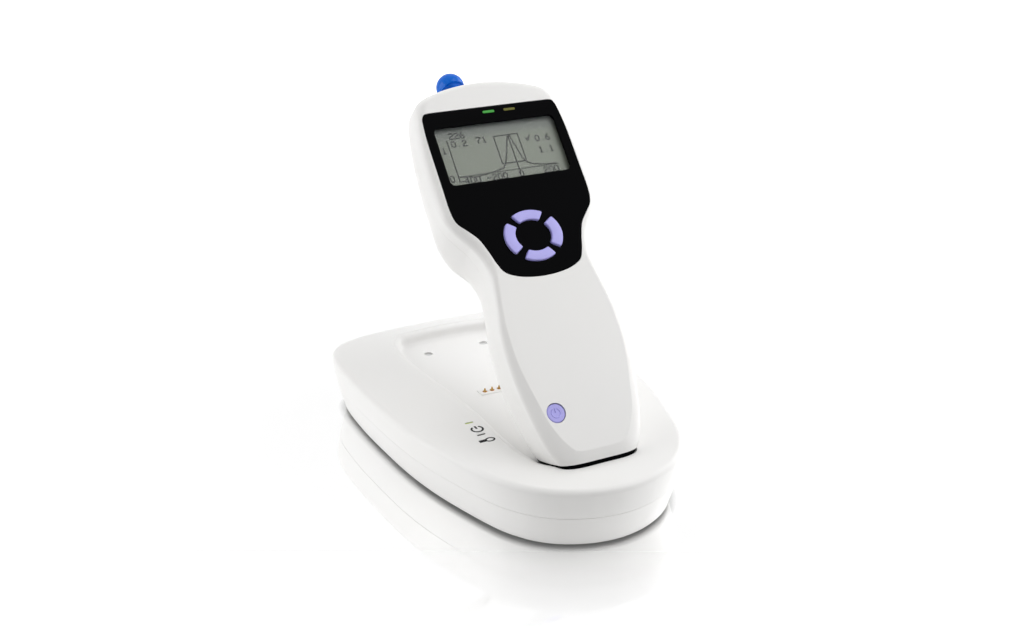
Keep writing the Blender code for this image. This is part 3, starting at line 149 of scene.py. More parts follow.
SCREEN_HEIGHT = 0.1526 * HANDSET_LENGTH
SCREEN_CENTRE_SHARE = 0.7941
SCREEN_CORNER = 0.0025
LENS_THICKNESS = 0.001
LENS_MARGIN = 0.002
LIGHT_LENGTH = 0.006
LIGHT_WIDTH = 0.0013
LIGHT_HEIGHT_SHARE = 0.8985
BAR_CORNER_SHARE = 0.8
LIGHT_PLACES = (-0.001, 0.0097)  # green, yellow
RING_CENTRE_SHARE = 0.5625
RING_OUTER_RADIUS = 0.0749 * HANDSET_LENGTH
RING_INNER_RADIUS = 0.0467 * HANDSET_LENGTH
RING_SQUASH_SHARE = 0.865
KEY_SPAN = math.radians(66)
KEY_STAND = 0.0014
KEY_FLANGE = 0.0006
KEY_FLANGE_THICKNESS = 0.0008
KEYPAD_MARGIN = 0.0018
POWER_KEY_PLACE = (-0.405 * HEAD_HALF_WIDTH, 0.1379 * HANDSET_LENGTH)
POWER_KEY_RADIUS = 0.0043
POWER_KEY_SINK = 0.0003
BATTERY_CENTRE = 0.3 * HANDSET_LENGTH
DOOR_HALF_WIDTH = 0.443 * HEAD_HALF_WIDTH
DOOR_LENGTH = 0.2526 * HANDSET_LENGTH
DOOR_CORNER = 0.004
SCREW_SHAFT_RADIUS = 0.0012
SCREW_HEAD_RADIUS = 0.0024
SCREW_HEAD_HEIGHT = 0.0015
WELL_RADIUS = 0.004
WELL_FLOOR = 0.0028
CASE_SCREW_LENGTH = PARTING_DEPTH * 0.7
CASE_SCREW_SHARES = ((0.557, 0.932), (-0.557, 0.932), (0.44, 0.487), (-0.44, 0.487))
PROBE_ANGLE = math.radians(25)
PROBE_SETBACK = 0.0031
PROBE_DEPTH = 0.0247
PROBE_BODY_RADIUS = 0.009
PROBE_BODY_REACH = 0.003
PROBE_BODY_ROOT = 0.009
PROBE_BORE_RADIUS = 0.0013
NOSE_LENGTH = 0.0058
NOSE_BASE_RADIUS = 0.0084
NOSE_FRONT_RADIUS = 0.0046
NOSE_WALL = 0.0014
TIP_FLANGE_RADIUS = 0.0056
TIP_FLANGE_THICKNESS = 0.0014
TIP_RADIUS = 0.0021
TIP_REACH = 0.0205
EAR_TIP_RADIUS = 0.00695
EAR_TIP_WALL_SHARE = 0.56
STRIP_HALF_WIDTH = 0.342 * HEAD_HALF_WIDTH
STRIP_HALF_HEIGHT = 0.0035
STRIP_SHARE = 0.555
TRAY_DEPTH = 0.0052
TRAY_EDGE = 0.0022
TRAY_OUTLINE_SHARES = (
    (0.0, 0.134), (0.209, 0.139), (0.334, 0.163), (0.381, 0.218),
    (0.397, 0.327), (0.392, 0.446), (0.41, 0.564), (0.444, 0.673),
    (0.467, 0.782), (0.454, 0.861), (0.402, 0.906), (0.313, 0.923),
    (0.0, 0.931),
)
REST_PAD_PLACE = (0.235 * CRADLE_HALF_WIDTH, 0.8494 * CRADLE_LENGTH)
REST_PAD_RADIUS = 0.0021
REST_PAD_SINK = 0.0007
REST_PAD_THICKNESS = 0.0012
PIN_COUNT = 6
PIN_PITCH = 0.0039
PIN_RADIUS = 0.0008
PIN_STAND = 0.0018
PIN_ROW = 0.5802 * CRADLE_LENGTH
BLOCK_HALF_LENGTH = 0.003
BLOCK_STAND = 0.0004
BLOCK_CORNER = 0.001
CHARGER_TOP = 0.0172
CHARGER_THICKNESS = 0.0016
CRADLE_LIGHT_SHARES = ((-0.5275, 0.3368), (-0.5275, 0.4))  # charging, mains
CRADLE_LIGHT_LENGTH = 0.004
CRADLE_LIGHT_WIDTH = 0.0011
POWER_SOCKET_X = -0.014
POWER_SOCKET_HALF_WIDTH = 0.0045
DATA_SOCKET_X = 0.012
DATA_SOCKET_HALF_WIDTH = 0.004
DATA_SOCKET_WALL = 0.0006
DATA_SLOT_HEIGHT = 0.0028
SOCKET_LENGTH = 0.013
SOCKET_HEIGHT = 0.009
PAD_FOOT_RADIUS = 0.006
PAD_FOOT_THICKNESS = 0.0021
PAD_FOOT_SHARES = ((0.669, 0.8395), (-0.669, 0.8395), (0.416, 0.1481), (-0.416, 0.1481))
BASE_SCREW_SHARES = ((0.743, 0.7309), (-0.743, 0.7309), (0.565, 0.2272), (-0.565, 0.2272))
BASE_SCREW_LENGTH = 0.014
BASE_BOSS_RADIUS = 0.0044
BASE_BOSS_TOP = 0.0095
BASE_BOSS_FLOOR = 0.003

# Sizes and fineness of the dressed pieces alone
SEAM = 0.00006  # what shows of the gap between the two shells
CRADLE_SEAM = 0.00016
KEY_HOLE_GAP = GAP * 0.7
PANEL_SEAT_GAP = GAP * 0.6
FACE_EDGES = (
    # place along the handset, inset and drop of the face's edge, degrees of its arc
    (0.0, 0.0078, 0.0054, 52),
    (0.14, 0.005, 0.0043, 50),
    (0.3, 0.0033, 0.0032, 60),
    (0.42, 0.0025, 0.0026, 80),
    (0.62, 0.0045, 0.0045, 90),
)
FACE_CREASE = 0.0003  # where the arc ends before 90 degrees
BEVEL_ANGLE = math.radians(40)
OUTLINE_STEPS = 8
LEAST_TURN = math.radians(2)
LONGEST_STEP = 0.004
ROUND_SIDES = 64

# Local spaces
CRADLE = Matrix.Translation((0, -CRADLE_LENGTH / 2, 0))
HANDSET = (
    CRADLE
    @ Matrix.Translation((0, LEAN_SETBACK, CRADLE_HEIGHT + LEAN_RISE))
    @ Matrix.Rotation(LEAN_ANGLE, 4, "X")
)
FOOT = HANDSET @ Matrix.Translation((0, *FOOT_SPLIT)) @ Matrix.Rotation(FOOT_SPLIT_TILT, 4, "X")
PROBE = (
    HANDSET
    @ Matrix.Translation((0, HANDSET_LENGTH - PROBE_SETBACK, -PROBE_DEPTH))
    @ Matrix.Rotation(-math.pi / 2 - PROBE_ANGLE, 4, "X")
)


# Materials


class Nodes:
    """A node tree to which nodes and links are added."""

    def __init__(self, tree):
        self.tree = tree

    def node(self, kind, values=None, **settings):
        made = self.tree.nodes.new("ShaderNode" + kind)
        for key, value in settings.items():
            setattr(made, key, value)
        for socket, value in (values or {}).items():
            made.inputs[socket].default_value = value
        return made

    def link(self, output, socket):
        self.tree.links.new(output, socket)

    def maths(self, operation, one, two):
        made = self.node("Math", operation=operation)
        self.link(one, made.inputs[0])
        self.link(two, made.inputs[1])
        return made.outputs[0]

    def mapped(self, value, low, high, start=0.0, end=1.0, smooth=False):
        ends = {"From Min": start, "From Max": end, "To Min": low, "To Max": high}
        made = self.node("MapRange", ends, interpolation_type="SMOOTHSTEP" if smooth else "LINEAR")
        self.link(value, made.inputs["Value"])
        return made.outputs["Result"]


class Finish(Nodes):
    """A Principled material whose nodes are added step by step."""

    def __init__(self, name, colour, roughness):
        self.made = bpy.data.materials.new(name)
        self.made.use_nodes = True
        super().__init__(self.made.node_tree)
        self.shader = self.tree.nodes["Principled BSDF"]
        self.colour = colour
        self.roughness = roughness
        self.set("Base Color", (*colour, 1.0))
        self.set("Roughness", roughness)
        self.place = self.node("TexCoord").outputs["Object"]

    def set(self, socket, value):
        self.shader.inputs[socket].default_value = value

    def noise(self, scale, detail=2.0, stretch=None):
        place = self.place
        if stretch:
            mapping = self.node("Mapping", {"Scale": stretch})
            self.link(place, mapping.inputs["Vector"])
            place = mapping.outputs["Vector"]
        texture = self.node("TexNoise", {"Scale": scale, "Detail": detail})
        self.link(place, texture.inputs["Vector"])
        return texture.outputs["Fac"]

    def mottled(self, scale, spread, tint=(1, 1, 1)):
        """Slow change of colour over the surface."""
        low = [c * (1 - spread) * t for c, t in zip(self.colour, tint)]
        high = [min(c * (1 + spread), 1) for c in self.colour]
        mix = self.node("Mix", data_type="RGBA")
        mix.inputs["A"].default_value = (*low, 1)
        mix.inputs["B"].default_value = (*high, 1)
        self.link(self.mapped(self.noise(scale), 0, 1, *NOISE_REACH), mix.inputs["Factor"])
        self.link(mix.outputs["Result"], self.shader.inputs["Base Color"])

    def worn(self, scale, spread, stretch=None):
        """Slow change of roughness, as handling leaves it."""
        low = max(self.roughness - spread, LEAST_ROUGHNESS)
        high = self.roughness + spread
        value = self.mapped(self.noise(scale, 3.0, stretch), low, high, *NOISE_REACH)
        self.link(value, self.shader.inputs["Roughness"])

    def grained(self, scale, depth, stretch=None):
        """Fine relief; depth in metres."""
        bump = self.node("Bump", {"Strength": 1.0, "Distance": depth})
        self.link(self.noise(scale, stretch=stretch), bump.inputs["Height"])
        self.link(bump.outputs["Normal"], self.shader.inputs["Normal"])


WHITE = (1, 1, 1, 1)
NOISE_REACH = (0.3, 0.7)  # what most of a noise texture lies between
LEAST_ROUGHNESS = 0.02
SPECULAR = "Specular IOR Level"
METAL = {"Metallic": 1.0}
GREEN_GLOW = {"Emission Color": (0.1, 0.75, 0.1, 1), "Emission Strength": 0.12}
LIGHT_BAR = ((500, 0.1), (300, 0.05), (900, 0.00001))
RUBBER = ((160, 0.08), (1500, 0.00003))
TURNING = (1, 12, 12)
FINISHES = (
    # key, name, colour, roughness, other sockets, mottling, wear, grain
    ("white_plastic", "satin_white", (0.855, 0.85, 0.84), 0.38, {},
     (14, 0.008, (1, 0.998, 0.99)), (30, 0.05), (2600, 0.000006)),
    ("black_gloss", "gloss_black", (0.0012, 0.0013, 0.0017), 0.1, {SPECULAR: 0.01},
     (20, 0.1), (60, 0.03), (900, 0.000001)),
    ("black_plastic", "matt_black", (0.018, 0.018, 0.02), 0.5, {},
     (60, 0.1), (90, 0.06), (2600, 0.00001)),
    ("key_purple", "lavender_keys", (0.43, 0.405, 0.87), 0.4, {},
     (80, 0.02), (120, 0.06), (3000, 0.000006)),
    ("green_light", "green_bar", (0.03, 0.25, 0.025), 0.3, {SPECULAR: 0.2, **GREEN_GLOW}, *LIGHT_BAR),
    ("yellow_light", "yellow_bar", (0.13, 0.125, 0.004), 0.3, {SPECULAR: 0.2}, *LIGHT_BAR),
    ("pale_light", "pale_bar", (0.5, 0.62, 0.12), 0.3, {SPECULAR: 0.3}, *LIGHT_BAR),
    ("dark_light", "unlit_bar", (0.012, 0.012, 0.012), 0.25, {}, *LIGHT_BAR),
    ("board_green", "solder_mask", (0.012, 0.13, 0.045), 0.35, {},
     (400, 0.25), (300, 0.1), (700, 0.00003)),
    ("battery_blue", "battery_sleeve", (0.03, 0.1, 0.35), 0.4, {},
     (90, 0.08), (100, 0.1), (500, 0.00002)),
    ("frame_grey", "frame_grey", (0.33, 0.34, 0.35), 0.5, {},
     (60, 0.05), (100, 0.08), (2000, 0.00001)),
    ("grey_plastic", "grey_plastic", (0.28, 0.29, 0.3), 0.45, {},
     (60, 0.04), (100, 0.06), (2400, 0.00001)),
    ("rubber_grey", "rubber", (0.1, 0.1, 0.105), 0.75, {}, (120, 0.12), *RUBBER),
    ("pad_grey", "pad_rubber", (0.6, 0.6, 0.6), 0.6, {}, (200, 0.05), *RUBBER),
    ("blue_rubber", "silicone_blue", (0.002, 0.13, 0.62), 0.1, {SPECULAR: 0.14},
     (120, 0.06), (140, 0.05), (900, 0.000006)),
    ("gold", "gold_plate", (0.45, 0.28, 0.09), 0.3, METAL,
     (900, 0.06), (700, 0.08), (3000, 0.000006)),
    ("copper", "copper_collar", (0.5, 0.22, 0.08), 0.3, METAL,
     (900, 0.06), (700, 0.08), (3000, 0.000006)),
    ("brass", "turned_brass", (0.68, 0.5, 0.24), 0.3, METAL,
     (200, 0.05), (400, 0.1, TURNING), (900, 0.00001, TURNING)),
    ("steel", "zinc_steel", (0.58, 0.58, 0.6), 0.35, METAL,
     (300, 0.05), (500, 0.1), (1500, 0.00001)),
    ("ink", "printed_ink", (0.004, 0.004, 0.005), 0.6, {SPECULAR: 0.2},
     (700, 0.15), (500, 0.08), (2500, 0.000006)),
    ("lcd_ink", "display_ink", (0.008, 0.01, 0.009), 0.6, {SPECULAR: 0.1},
     (300, 0.15), (500, 0.08), (2500, 0.000006)),
    ("screen_grey", "display_ground", (0.125, 0.152, 0.108), 0.45, {},
     (18, 0.12, (1.02, 1, 0.98)), (60, 0.06), (4000, 0.000004)),
    ("clear_lens", "clear_acrylic", (0.9, 0.92, 0.9), 0.06, {"Alpha": 0.06},
     (30, 0.01), (40, 0.02), (600, 0.0000005)),
)
# Painted shadow on the display's upper part, as the panel's edge would cast it: shares of its half
# height, how much of the ground goes, its colour
DISPLAY_SHADOW_REACH = (0.3, 0.95)
DISPLAY_SHADOW_SHARE = 0.95
DISPLAY_SHADOW_COLOUR = (0.012, 0.025, 0.03, 1)


def make_finishes():
    made = {}
    for key, name, colour, roughness, others, mottling, wear, grain in FINISHES:
        finish = Finish(name, colour, roughness)
        for socket, value in others.items():
            finish.set(socket, value)
        finish.mottled(*mottling)
        finish.worn(*wear)
        finish.grained(*grain)
        made[key] = finish
    # painted shadow of the panel's upper edge on the display ground
    paint_display_shadow(made["screen_grey"])
    return made


def paint_display_shadow(finish):
    """Paints shadow into the reflective display: darker and cooler along its upper edge, as the panel's
    edge would shade it.
    """
    base = finish.shader.inputs["Base Color"]
    ground = base.links[0].from_socket
    parts = finish.node("SeparateXYZ")
    finish.link(finish.place, parts.inputs["Vector"])
    centre = HANDSET @ Vector((0, SCREEN_CENTRE_SHARE * HANDSET_LENGTH, 0))
    reach = SCREEN_HEIGHT / 2 * math.sin(LEAN_ANGLE)
    start, end = [centre.z + reach * share for share in DISPLAY_SHADOW_REACH]
    # the painted shadow: a dark, cool colour mixed in towards the display's upper edge
    mix = finish.node("Mix", data_type="RGBA")
    mix.inputs["B"].default_value = DISPLAY_SHADOW_COLOUR
    finish.link(ground, mix.inputs["A"])
    finish.link(finish.mapped(parts.outputs["Z"], 0, DISPLAY_SHADOW_SHARE, start, end), mix.inputs["Factor"])
    finish.link(mix.outputs["Result"], base)


def given(mesh, finish):
    """Gives the mesh this finish alone."""
    mesh.materials.clear()
    mesh.materials.append(finishes[finish].made)


# Outlines


def on_cradle(share):
    return Vector((share[0] * CRADLE_HALF_WIDTH, share[1] * CRADLE_LENGTH))


def curve(knots, steps):
    """Catmull-Rom points from the second knot up to the last but one."""
    path = []
    for before, start, end, after in zip(knots, knots[1:], knots[2:], knots[3:]):
        for step in range(steps):
            t = step / steps
            bend = (end - before) * t + (before * 2 - start * 5 + end * 4 - after) * t**2
            bend += (start * 3 - before - end * 3 + after) * t**3
            path.append(start + bend / 2)
    return path


def outline(shares, across, along):
    """The loop through a half outline that starts and ends on the middle line, and its mirror."""
    knots = [Vector((x * across, y * along)) for x, y in shares]
    first = Vector((-knots[1].x, knots[1].y))
    last = Vector((-knots[-2].x, knots[-2].y))
    path = [*curve([first, *knots, last], OUTLINE_STEPS), knots[-1]]
    path[0].x = path[-1].x = 0.0
    half = thinned(path)
    return half + [Vector((-point.x, point.y)) for point in reversed(half[1:-1])]


def thinned(path):
    """The path without points at which it hardly turns, and with no long step."""
    kept = [path[0]]
    for point, after in zip(path[1:], path[2:]):
        step = point - kept[-1]
        if step.angle(after - point) > LEAST_TURN or step.length > LONGEST_STEP:
            kept.append(point)
    return kept + [path[-1]]


def whole_turn(steps):
    return [math.tau * step / steps for step in range(steps)]


def arc(centre, radius, start, end, steps):
    angles = [start + (end - start) * step / steps for step in range(steps + 1)]
    return [Vector(centre) + Vector((math.cos(a), math.sin(a))) * radius for a in angles]


def grown(loop, distance):
    if not distance:
        return loop
    moved = []
    for before, point, after in zip(loop[-1:] + loop[:-1], loop, loop[1:] + loop[:1]):
        one = (point - before).normalized()
        two = (after - point).normalized()
        lean = Vector((one.y + two.y, -one.x - two.x))
        moved.append(point + lean * distance / (1 + one.dot(two)))
    return moved


def box_loop(half_width, half_height, corner, centre=(0, 0), steps=8):
    loop = []
    for quarter, (sx, sy) in enumerate(((1, -1), (1, 1), (-1, 1), (-1, -1))):
        turn = math.pi / 2 * (quarter - 1)
        middle = Vector((sx * (half_width - corner), sy * (half_height - corner))) + Vector(centre)
        loop += arc(middle, corner, turn, turn + math.pi / 2, steps)
    return loop


def circle_loop(radius, centre=(0, 0), sides=ROUND_SIDES):
    return arc(centre, radius, 0, math.tau, sides)[:-1]


def cradle_loop():
    return outline(CRADLE_OUTLINE_SHARES, CRADLE_HALF_WIDTH, CRADLE_LENGTH)


def tray_loop():
    return outline(TRAY_OUTLINE_SHARES, CRADLE_HALF_WIDTH, CRADLE_LENGTH)


def body_loop(growth=0.0):
    return grown(outline(BODY_OUTLINE_SHARES, HEAD_HALF_WIDTH, HANDSET_LENGTH), growth)


def panel_loop():
    return outline(PANEL_OUTLINE_SHARES, HEAD_HALF_WIDTH, HANDSET_LENGTH)


def screen_loop(growth):
    centre = (0, SCREEN_CENTRE_SHARE * HANDSET_LENGTH)
    half_height = SCREEN_HEIGHT / 2 + growth
    return box_loop(SCREEN_HALF_WIDTH + growth, half_height, SCREEN_CORNER, centre)


def bar_loop(length, width, place, growth):
    half = width / 2 + growth
    return box_loop(length / 2 + growth, half, half * BAR_CORNER_SHARE, place, 4)


def light_loop(x, growth):
    return bar_loop(LIGHT_LENGTH, LIGHT_WIDTH, (x, LIGHT_HEIGHT_SHARE * HANDSET_LENGTH), growth)


def ring_point(radius, turn):
    centre = RING_CENTRE_SHARE * HANDSET_LENGTH
    along = centre + radius * RING_SQUASH_SHARE * math.sin(turn)
    return Vector((radius * math.cos(turn), along))


# Meshes


def ring(loop, level):
    """The loop's points at a level, which is a height or a function of the distance along Y."""
    if callable(level):
        return [Vector((point.x, point.y, level(point.y))) for point in loop]
    return [Vector((point.x, point.y, level)) for point in loop]


def plain(name, data):
    obj = bpy.data.objects.new(name, data)
    bpy.context.scene.collection.objects.link(obj)
    return obj


def built(name, bm, space=Matrix.Identity(4)):
    """The object that a bmesh makes, moved into a space."""
    bmesh.ops.recalc_face_normals(bm, faces=bm.faces)
    mesh = bpy.data.meshes.new(name)
    bm.to_mesh(mesh)
    bm.free()
    mesh.transform(space)
    return plain(name, mesh)


def skin(bm, rings, capped=False):
    """Faces over rings of equally many points, first ring lowest."""
    rows = [[bm.verts.new(point) for point in points] for points in rings]
    for low, high in zip(rows, rows[1:]):
        for i in range(len(low)):
            j = (i + 1) % len(low)
            bm.faces.new((low[i], low[j], high[j], high[i]))
    if capped:
        bm.faces.new(list(reversed(rows[0])))
        bm.faces.new(rows[-1])


def lofted(name, rings, space, capped=False):
    bm = bmesh.new()
    skin(bm, rings, capped)
    bmesh.ops.remove_doubles(bm, verts=bm.verts, dist=GAP / 100)
    return built(name, bm, space)


def stacked(name, loop, steps, space):
    """A prism whose outline grows or shrinks at each (growth, level) step."""
    return lofted(name, [ring(grown(loop, g), z) for g, z in steps], space, capped=True)


def cutter(loop, low, high, space=HANDSET):
    return stacked("cutter", loop, [(0, low), (0, high)], space)


def rounding(radius, steps):
    """How far in and how far down the points of a rounded upper edge are, outermost first."""
    turns = [math.pi / 2 * step / steps for step in range(steps + 1)]
    return [(radius * (1 - math.cos(a)), radius * (1 - math.sin(a))) for a in turns]


def slab(low, high, space):
    corners = ((low[0], low[1]), (high[0], low[1]), (high[0], high[1]), (low[0], high[1]))
    return cutter([Vector(corner) for corner in corners], low[2], high[2], space)


def foot_slab(low, high):
    side = HEAD_HALF_WIDTH + OVERRUN
    return slab((-side, low, -HANDSET_LENGTH), (side, high, HANDSET_LENGTH), FOOT)


def cylinders(places, radius, low, high, space=HANDSET, sides=32):
    return joined([cutter(circle_loop(radius, p, sides), low, high, space) for p in places])


def joined(objects):
    """One object from several, without any boolean."""
    first = objects[0]
    bm = bmesh.new()
    for obj in objects:
        bm.from_mesh(obj.data)
    for obj in objects[1:]:
        bpy.data.objects.remove(obj)
    bm.to_mesh(first.data)
    bm.free()
    return first


def turned(name, profile, space, closed=False, sides=ROUND_SIDES):
    """A profile of (radius, height) points spun about Z."""
    rings = [[(r * math.cos(a), r * math.sin(a), z) for a in whole_turn(sides)] for r, z in profile]
    return lofted(name, rings + rings[:1] if closed else rings, space)


def rounded_ring(name, points, radius):
    """A ring of the probe; its profile's corners are rounded, by less where a side is short."""
    profile = []
    corners = [Vector(point) for point in points]
    for before, here, after in zip(corners[-1:] + corners, corners, corners[1:] + corners[:1]):
        reach = min(radius, (here - before).length * 0.45, (after - here).length * 0.45)
        start = here + (before - here).normalized() * reach
        end = here + (after - here).normalized() * reach
        for t in (0, 0.25, 0.5, 0.75, 1):
            profile.append(tuple(start * (1 - t) ** 2 + here * 2 * t * (1 - t) + end * t**2))
    return turned(name, profile, PROBE, closed=True)


def applied(obj):
    """Bakes the object's modifiers into its mesh."""
    graph = bpy.context.evaluated_depsgraph_get()
    mesh = bpy.data.meshes.new_from_object(obj.evaluated_get(graph))
    obj.modifiers.clear()
    obj.data = mesh
    return obj


def boolean(obj, operation, others):
    for other in others:
        step = obj.modifiers.new("step", "BOOLEAN")
        step.operation = operation
        step.object = other
        step.solver = "EXACT"
    applied(obj)
    for other in others:
        bpy.data.objects.remove(other)
    return obj


def cut(obj, *others):
    return boolean(obj, "DIFFERENCE", others)


def join(obj, *others):
    return boolean(obj, "UNION", others)


def keep_inside(obj, *others):
    return boolean(obj, "INTERSECT", others)


def walled(obj):
    wall = obj.modifiers.new("wall", "SOLIDIFY")
    wall.thickness = SHELL_WALL
    wall.offset = -1
    wall.use_even_offset = True
    return applied(obj)


def dressed(obj, body, finish, *replaced, edge=0.0, sharp=30):
    """Shading, edge rounding, material and body of a finished piece."""
    given(obj.data, finish)
    obj.data.shade_smooth()
    obj.data.set_sharp_from_angle(angle=math.radians(sharp))
    if edge:
        bevel = obj.modifiers.new("edge", "BEVEL")
        bevel.width = edge
        bevel.segments = 2
        bevel.limit_method = "ANGLE"
        bevel.angle_limit = BEVEL_ANGLE
        bevel.harden_normals = True
    weighted = obj.modifiers.new("shading", "WEIGHTED_NORMAL")
    weighted.keep_sharp = True
    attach(obj, body)
    if replaced:
        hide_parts(*replaced)
    return obj


# Handset body


def face_level(y):
    flat_from = HANDSET_LENGTH * FLAT_FACE_SHARE
    return -FACE_DROP * (max(flat_from - y, 0) / flat_from) ** 2


def eased_share(place, low, high):
    """Smooth step from 0 at low to 1 at high."""
    share = min(max((place - low) / (high - low), 0), 1)
    return share * share * (3 - 2 * share)


def back_level(y):
    """Height of the handset's back on its middle line: deep at the head, shallow at the handle."""
    step = eased_share(y / HANDSET_LENGTH, *NECK_SHARES)
    return -HANDLE_DEPTH - (HEAD_DEPTH - HANDLE_DEPTH) * step


def back_power(y):
    """How square the back's corners are at this place along the handset."""
    place = y / HANDSET_LENGTH
    power = BACK_POWER_SHARES[0][1]
    for (low, before), (high, after) in zip(BACK_POWER_SHARES, BACK_POWER_SHARES[1:]):
        power += (after - before) * eased_share(place, low, high)
    return power


def to_spine(loop, share=0.0):
    low = min(point.y for point in loop)
    high = max(point.y for point in loop)
    middle = (low + high) / 2
    pull = SPINE_SHARE + (1 - SPINE_SHARE) * share
    return [Vector((p.x * share, middle + (p.y - middle) * pull)) for p in loop]


def face_edge(y):
    """Inset, drop and arc of the face's edge at this place along the handset."""
    place = y / HANDSET_LENGTH
    edge = list(FACE_EDGES[0][1:])
    for before, after in zip(FACE_EDGES, FACE_EDGES[1:]):
        share = eased_share(place, before[0], after[0])
        edge = [value + (two - one) * share for value, one, two in zip(edge, before[1:], after[1:])]
    inset, drop, degrees = edge
    return inset, drop, math.radians(degrees)


def front_rings(growth=0.0, start=-PARTING_DEPTH):
    loop = body_loop(growth)
    normals = [out - point for out, point in zip(grown(loop, 1.0), loop)]
    rings = [ring(loop, start)]

    def edge_ring(share, further=0.0):
        points = []
        for point, normal in zip(loop, normals):
            width, height, arc_end = face_edge(point.y)
            turn = arc_end * share
            inset = (width + growth) * (1 - math.cos(turn)) / (1 - math.cos(arc_end)) + further
            drop = (height + growth) * (1 - math.sin(turn) / math.sin(arc_end)) - growth
            place = point - normal * inset
            points.append(Vector((place.x, place.y, face_level(place.y) - drop)))
        return points

    rings += [edge_ring(step / 8) for step in range(9)]
    rings.append(edge_ring(1.0, FACE_CREASE))
    inner = [point.xy for point in rings[-1]]
    for share in (0.75, 0.5, 0.25, 0.0):
        rings.append(ring(to_spine(inner, share), lambda y: face_level(y) + growth))
    return rings


def back_rings(growth=0.0, start=-PARTING_DEPTH):
    loop = body_loop(growth)
    low = min(point.y for point in loop)
    high = max(point.y for point in loop)
    wall = start - FACE_EDGE_RADIUS / 4
    rings = [ring(loop, start)]
    for step in range(15):
        turn = math.pi / 2 * step / 14
        points = []
        for point in loop:
            power = 2 / back_power(point.y)
            across = math.cos(turn) ** power
            foot = low + FOOT_END_ROUND * (1 - across)
            head = high - HEAD_END_ROUND * (1 - across)
            share = (point.y - low) / (high - low)
            slide = NECK_SLIDE * math.sin(turn) * math.sin(math.pi * share) ** 2
            y = foot + (head - foot) * share - slide
            depth = (back_level(y) - growth - wall) * math.sin(turn) ** power
            points.append(Vector((point.x * across, y, wall + depth)))
        rings.append(points)
    for point in rings[-1]:
        point.x = 0.0
    return rings


def body_solid(growth=0.0, name="cutter"):
    rings = list(reversed(back_rings(growth))) + front_rings(growth)[1:]
    return lofted(name, rings, HANDSET)


def case_screw_places():
    return [(x * HEAD_HALF_WIDTH, y * HANDSET_LENGTH) for x, y in CASE_SCREW_SHARES]


def door_loop(growth):
    loop = box_loop(DOOR_HALF_WIDTH, DOOR_LENGTH / 2, DOOR_CORNER, (0, BATTERY_CENTRE))
    return grown(loop, growth)


def strip_loop(growth):
    place = (0, STRIP_SHARE * HANDSET_LENGTH)
    return box_loop(STRIP_HALF_WIDTH + growth, STRIP_HALF_HEIGHT + growth, BLOCK_CORNER, place, 4)


SHELL_EDGE = 0.00022  # bevels of the dressed pieces
WINDOW_EDGE = 0.00015
PANEL_EDGE = 0.00012
STRIP_EDGE = 0.0002
CRADLE_EDGE = 0.00025


def make_front():
    start = -PARTING_DEPTH + SEAM / 2
    rings = list(reversed(front_rings(-SHELL_WALL, start))) + front_rings(0.0, start)
    shell = lofted("handset_front", rings, HANDSET)
    deep = -PARTING_DEPTH / 2
    margin = RING_OUTER_RADIUS + KEYPAD_MARGIN
    keypad = [ring_point(margin, turn) for turn in whole_turn(48)]
    power = circle_loop(POWER_KEY_RADIUS + KEY_HOLE_GAP, POWER_KEY_PLACE)
    seat = grown(panel_loop(), PANEL_SEAT_GAP)
    lights = [cutter(light_loop(x, GAP * 2), deep, OVERRUN) for x in LIGHT_PLACES]
    cut(
        shell,
        foot_slab(-HEAD_DEPTH, 0.0),
        cutter(seat, -PANEL_THICKNESS - GAP, OVERRUN),
        cutter(screen_loop(LENS_MARGIN + GAP), deep, OVERRUN),
        cutter(keypad, deep, OVERRUN),
        cutter(power, -PARTING_DEPTH, OVERRUN),
        *lights,
    )
    dressed(shell, "handset", "white_plastic", "front_shell", edge=SHELL_EDGE)


def make_back():
    start = -PARTING_DEPTH - SEAM / 2
    shell = walled(lofted("handset_back", back_rings(start=start), HANDSET))
    places = case_screw_places()
    wells = cylinders(places, WELL_RADIUS, -HEAD_DEPTH, start)
    keep_inside(wells, body_solid(-SHELL_WALL / 2))
    join(shell, wells)
    low = -HEAD_DEPTH - OVERRUN
    inner = -PARTING_DEPTH - SHELL_WALL
    floor = start - WELL_FLOOR
    probe_seat = circle_loop(PROBE_BODY_RADIUS + GAP / 2)
    cut(
        shell,
        cylinders(places, SCREW_HEAD_RADIUS + GAP, low, floor),
        cylinders(places, SCREW_SHAFT_RADIUS + GAP, floor - OVERRUN, start + OVERRUN),
        foot_slab(-HEAD_DEPTH, 0.0),
        cutter(probe_seat, -PROBE_BODY_ROOT - GAP, PROBE_BODY_REACH * 2 + OVERRUN, PROBE),
        cutter(door_loop(0.0), low, inner),
        cutter(strip_loop(0.0), low, inner),
    )
    dressed(shell, "handset", "white_plastic", "back_shell", edge=SHELL_EDGE)


def make_foot_window():
    window = body_solid(name="foot_window")
    keep_inside(window, foot_slab(-HEAD_DEPTH, -GAP / 2))
    dressed(window, "handset", "black_gloss", "ir_window", edge=WINDOW_EDGE)


# Panel, screen and keys


PANEL_ROUND = 0.0004
KEY_EDGE = 0.0006
KEY_CORNER = 0.0008
KEY_DOME = 0.0001
KEY_TURNS = {"key_right": 0, "key_up": math.pi / 2, "key_left": math.pi, "key_down": -math.pi / 2}


def key_span(turn):
    """Angle that a key takes up; the squashed ring's side keys take more, for the same length."""
    return KEY_SPAN / RING_SQUASH_SHARE if abs(math.sin(turn)) < 0.5 else KEY_SPAN


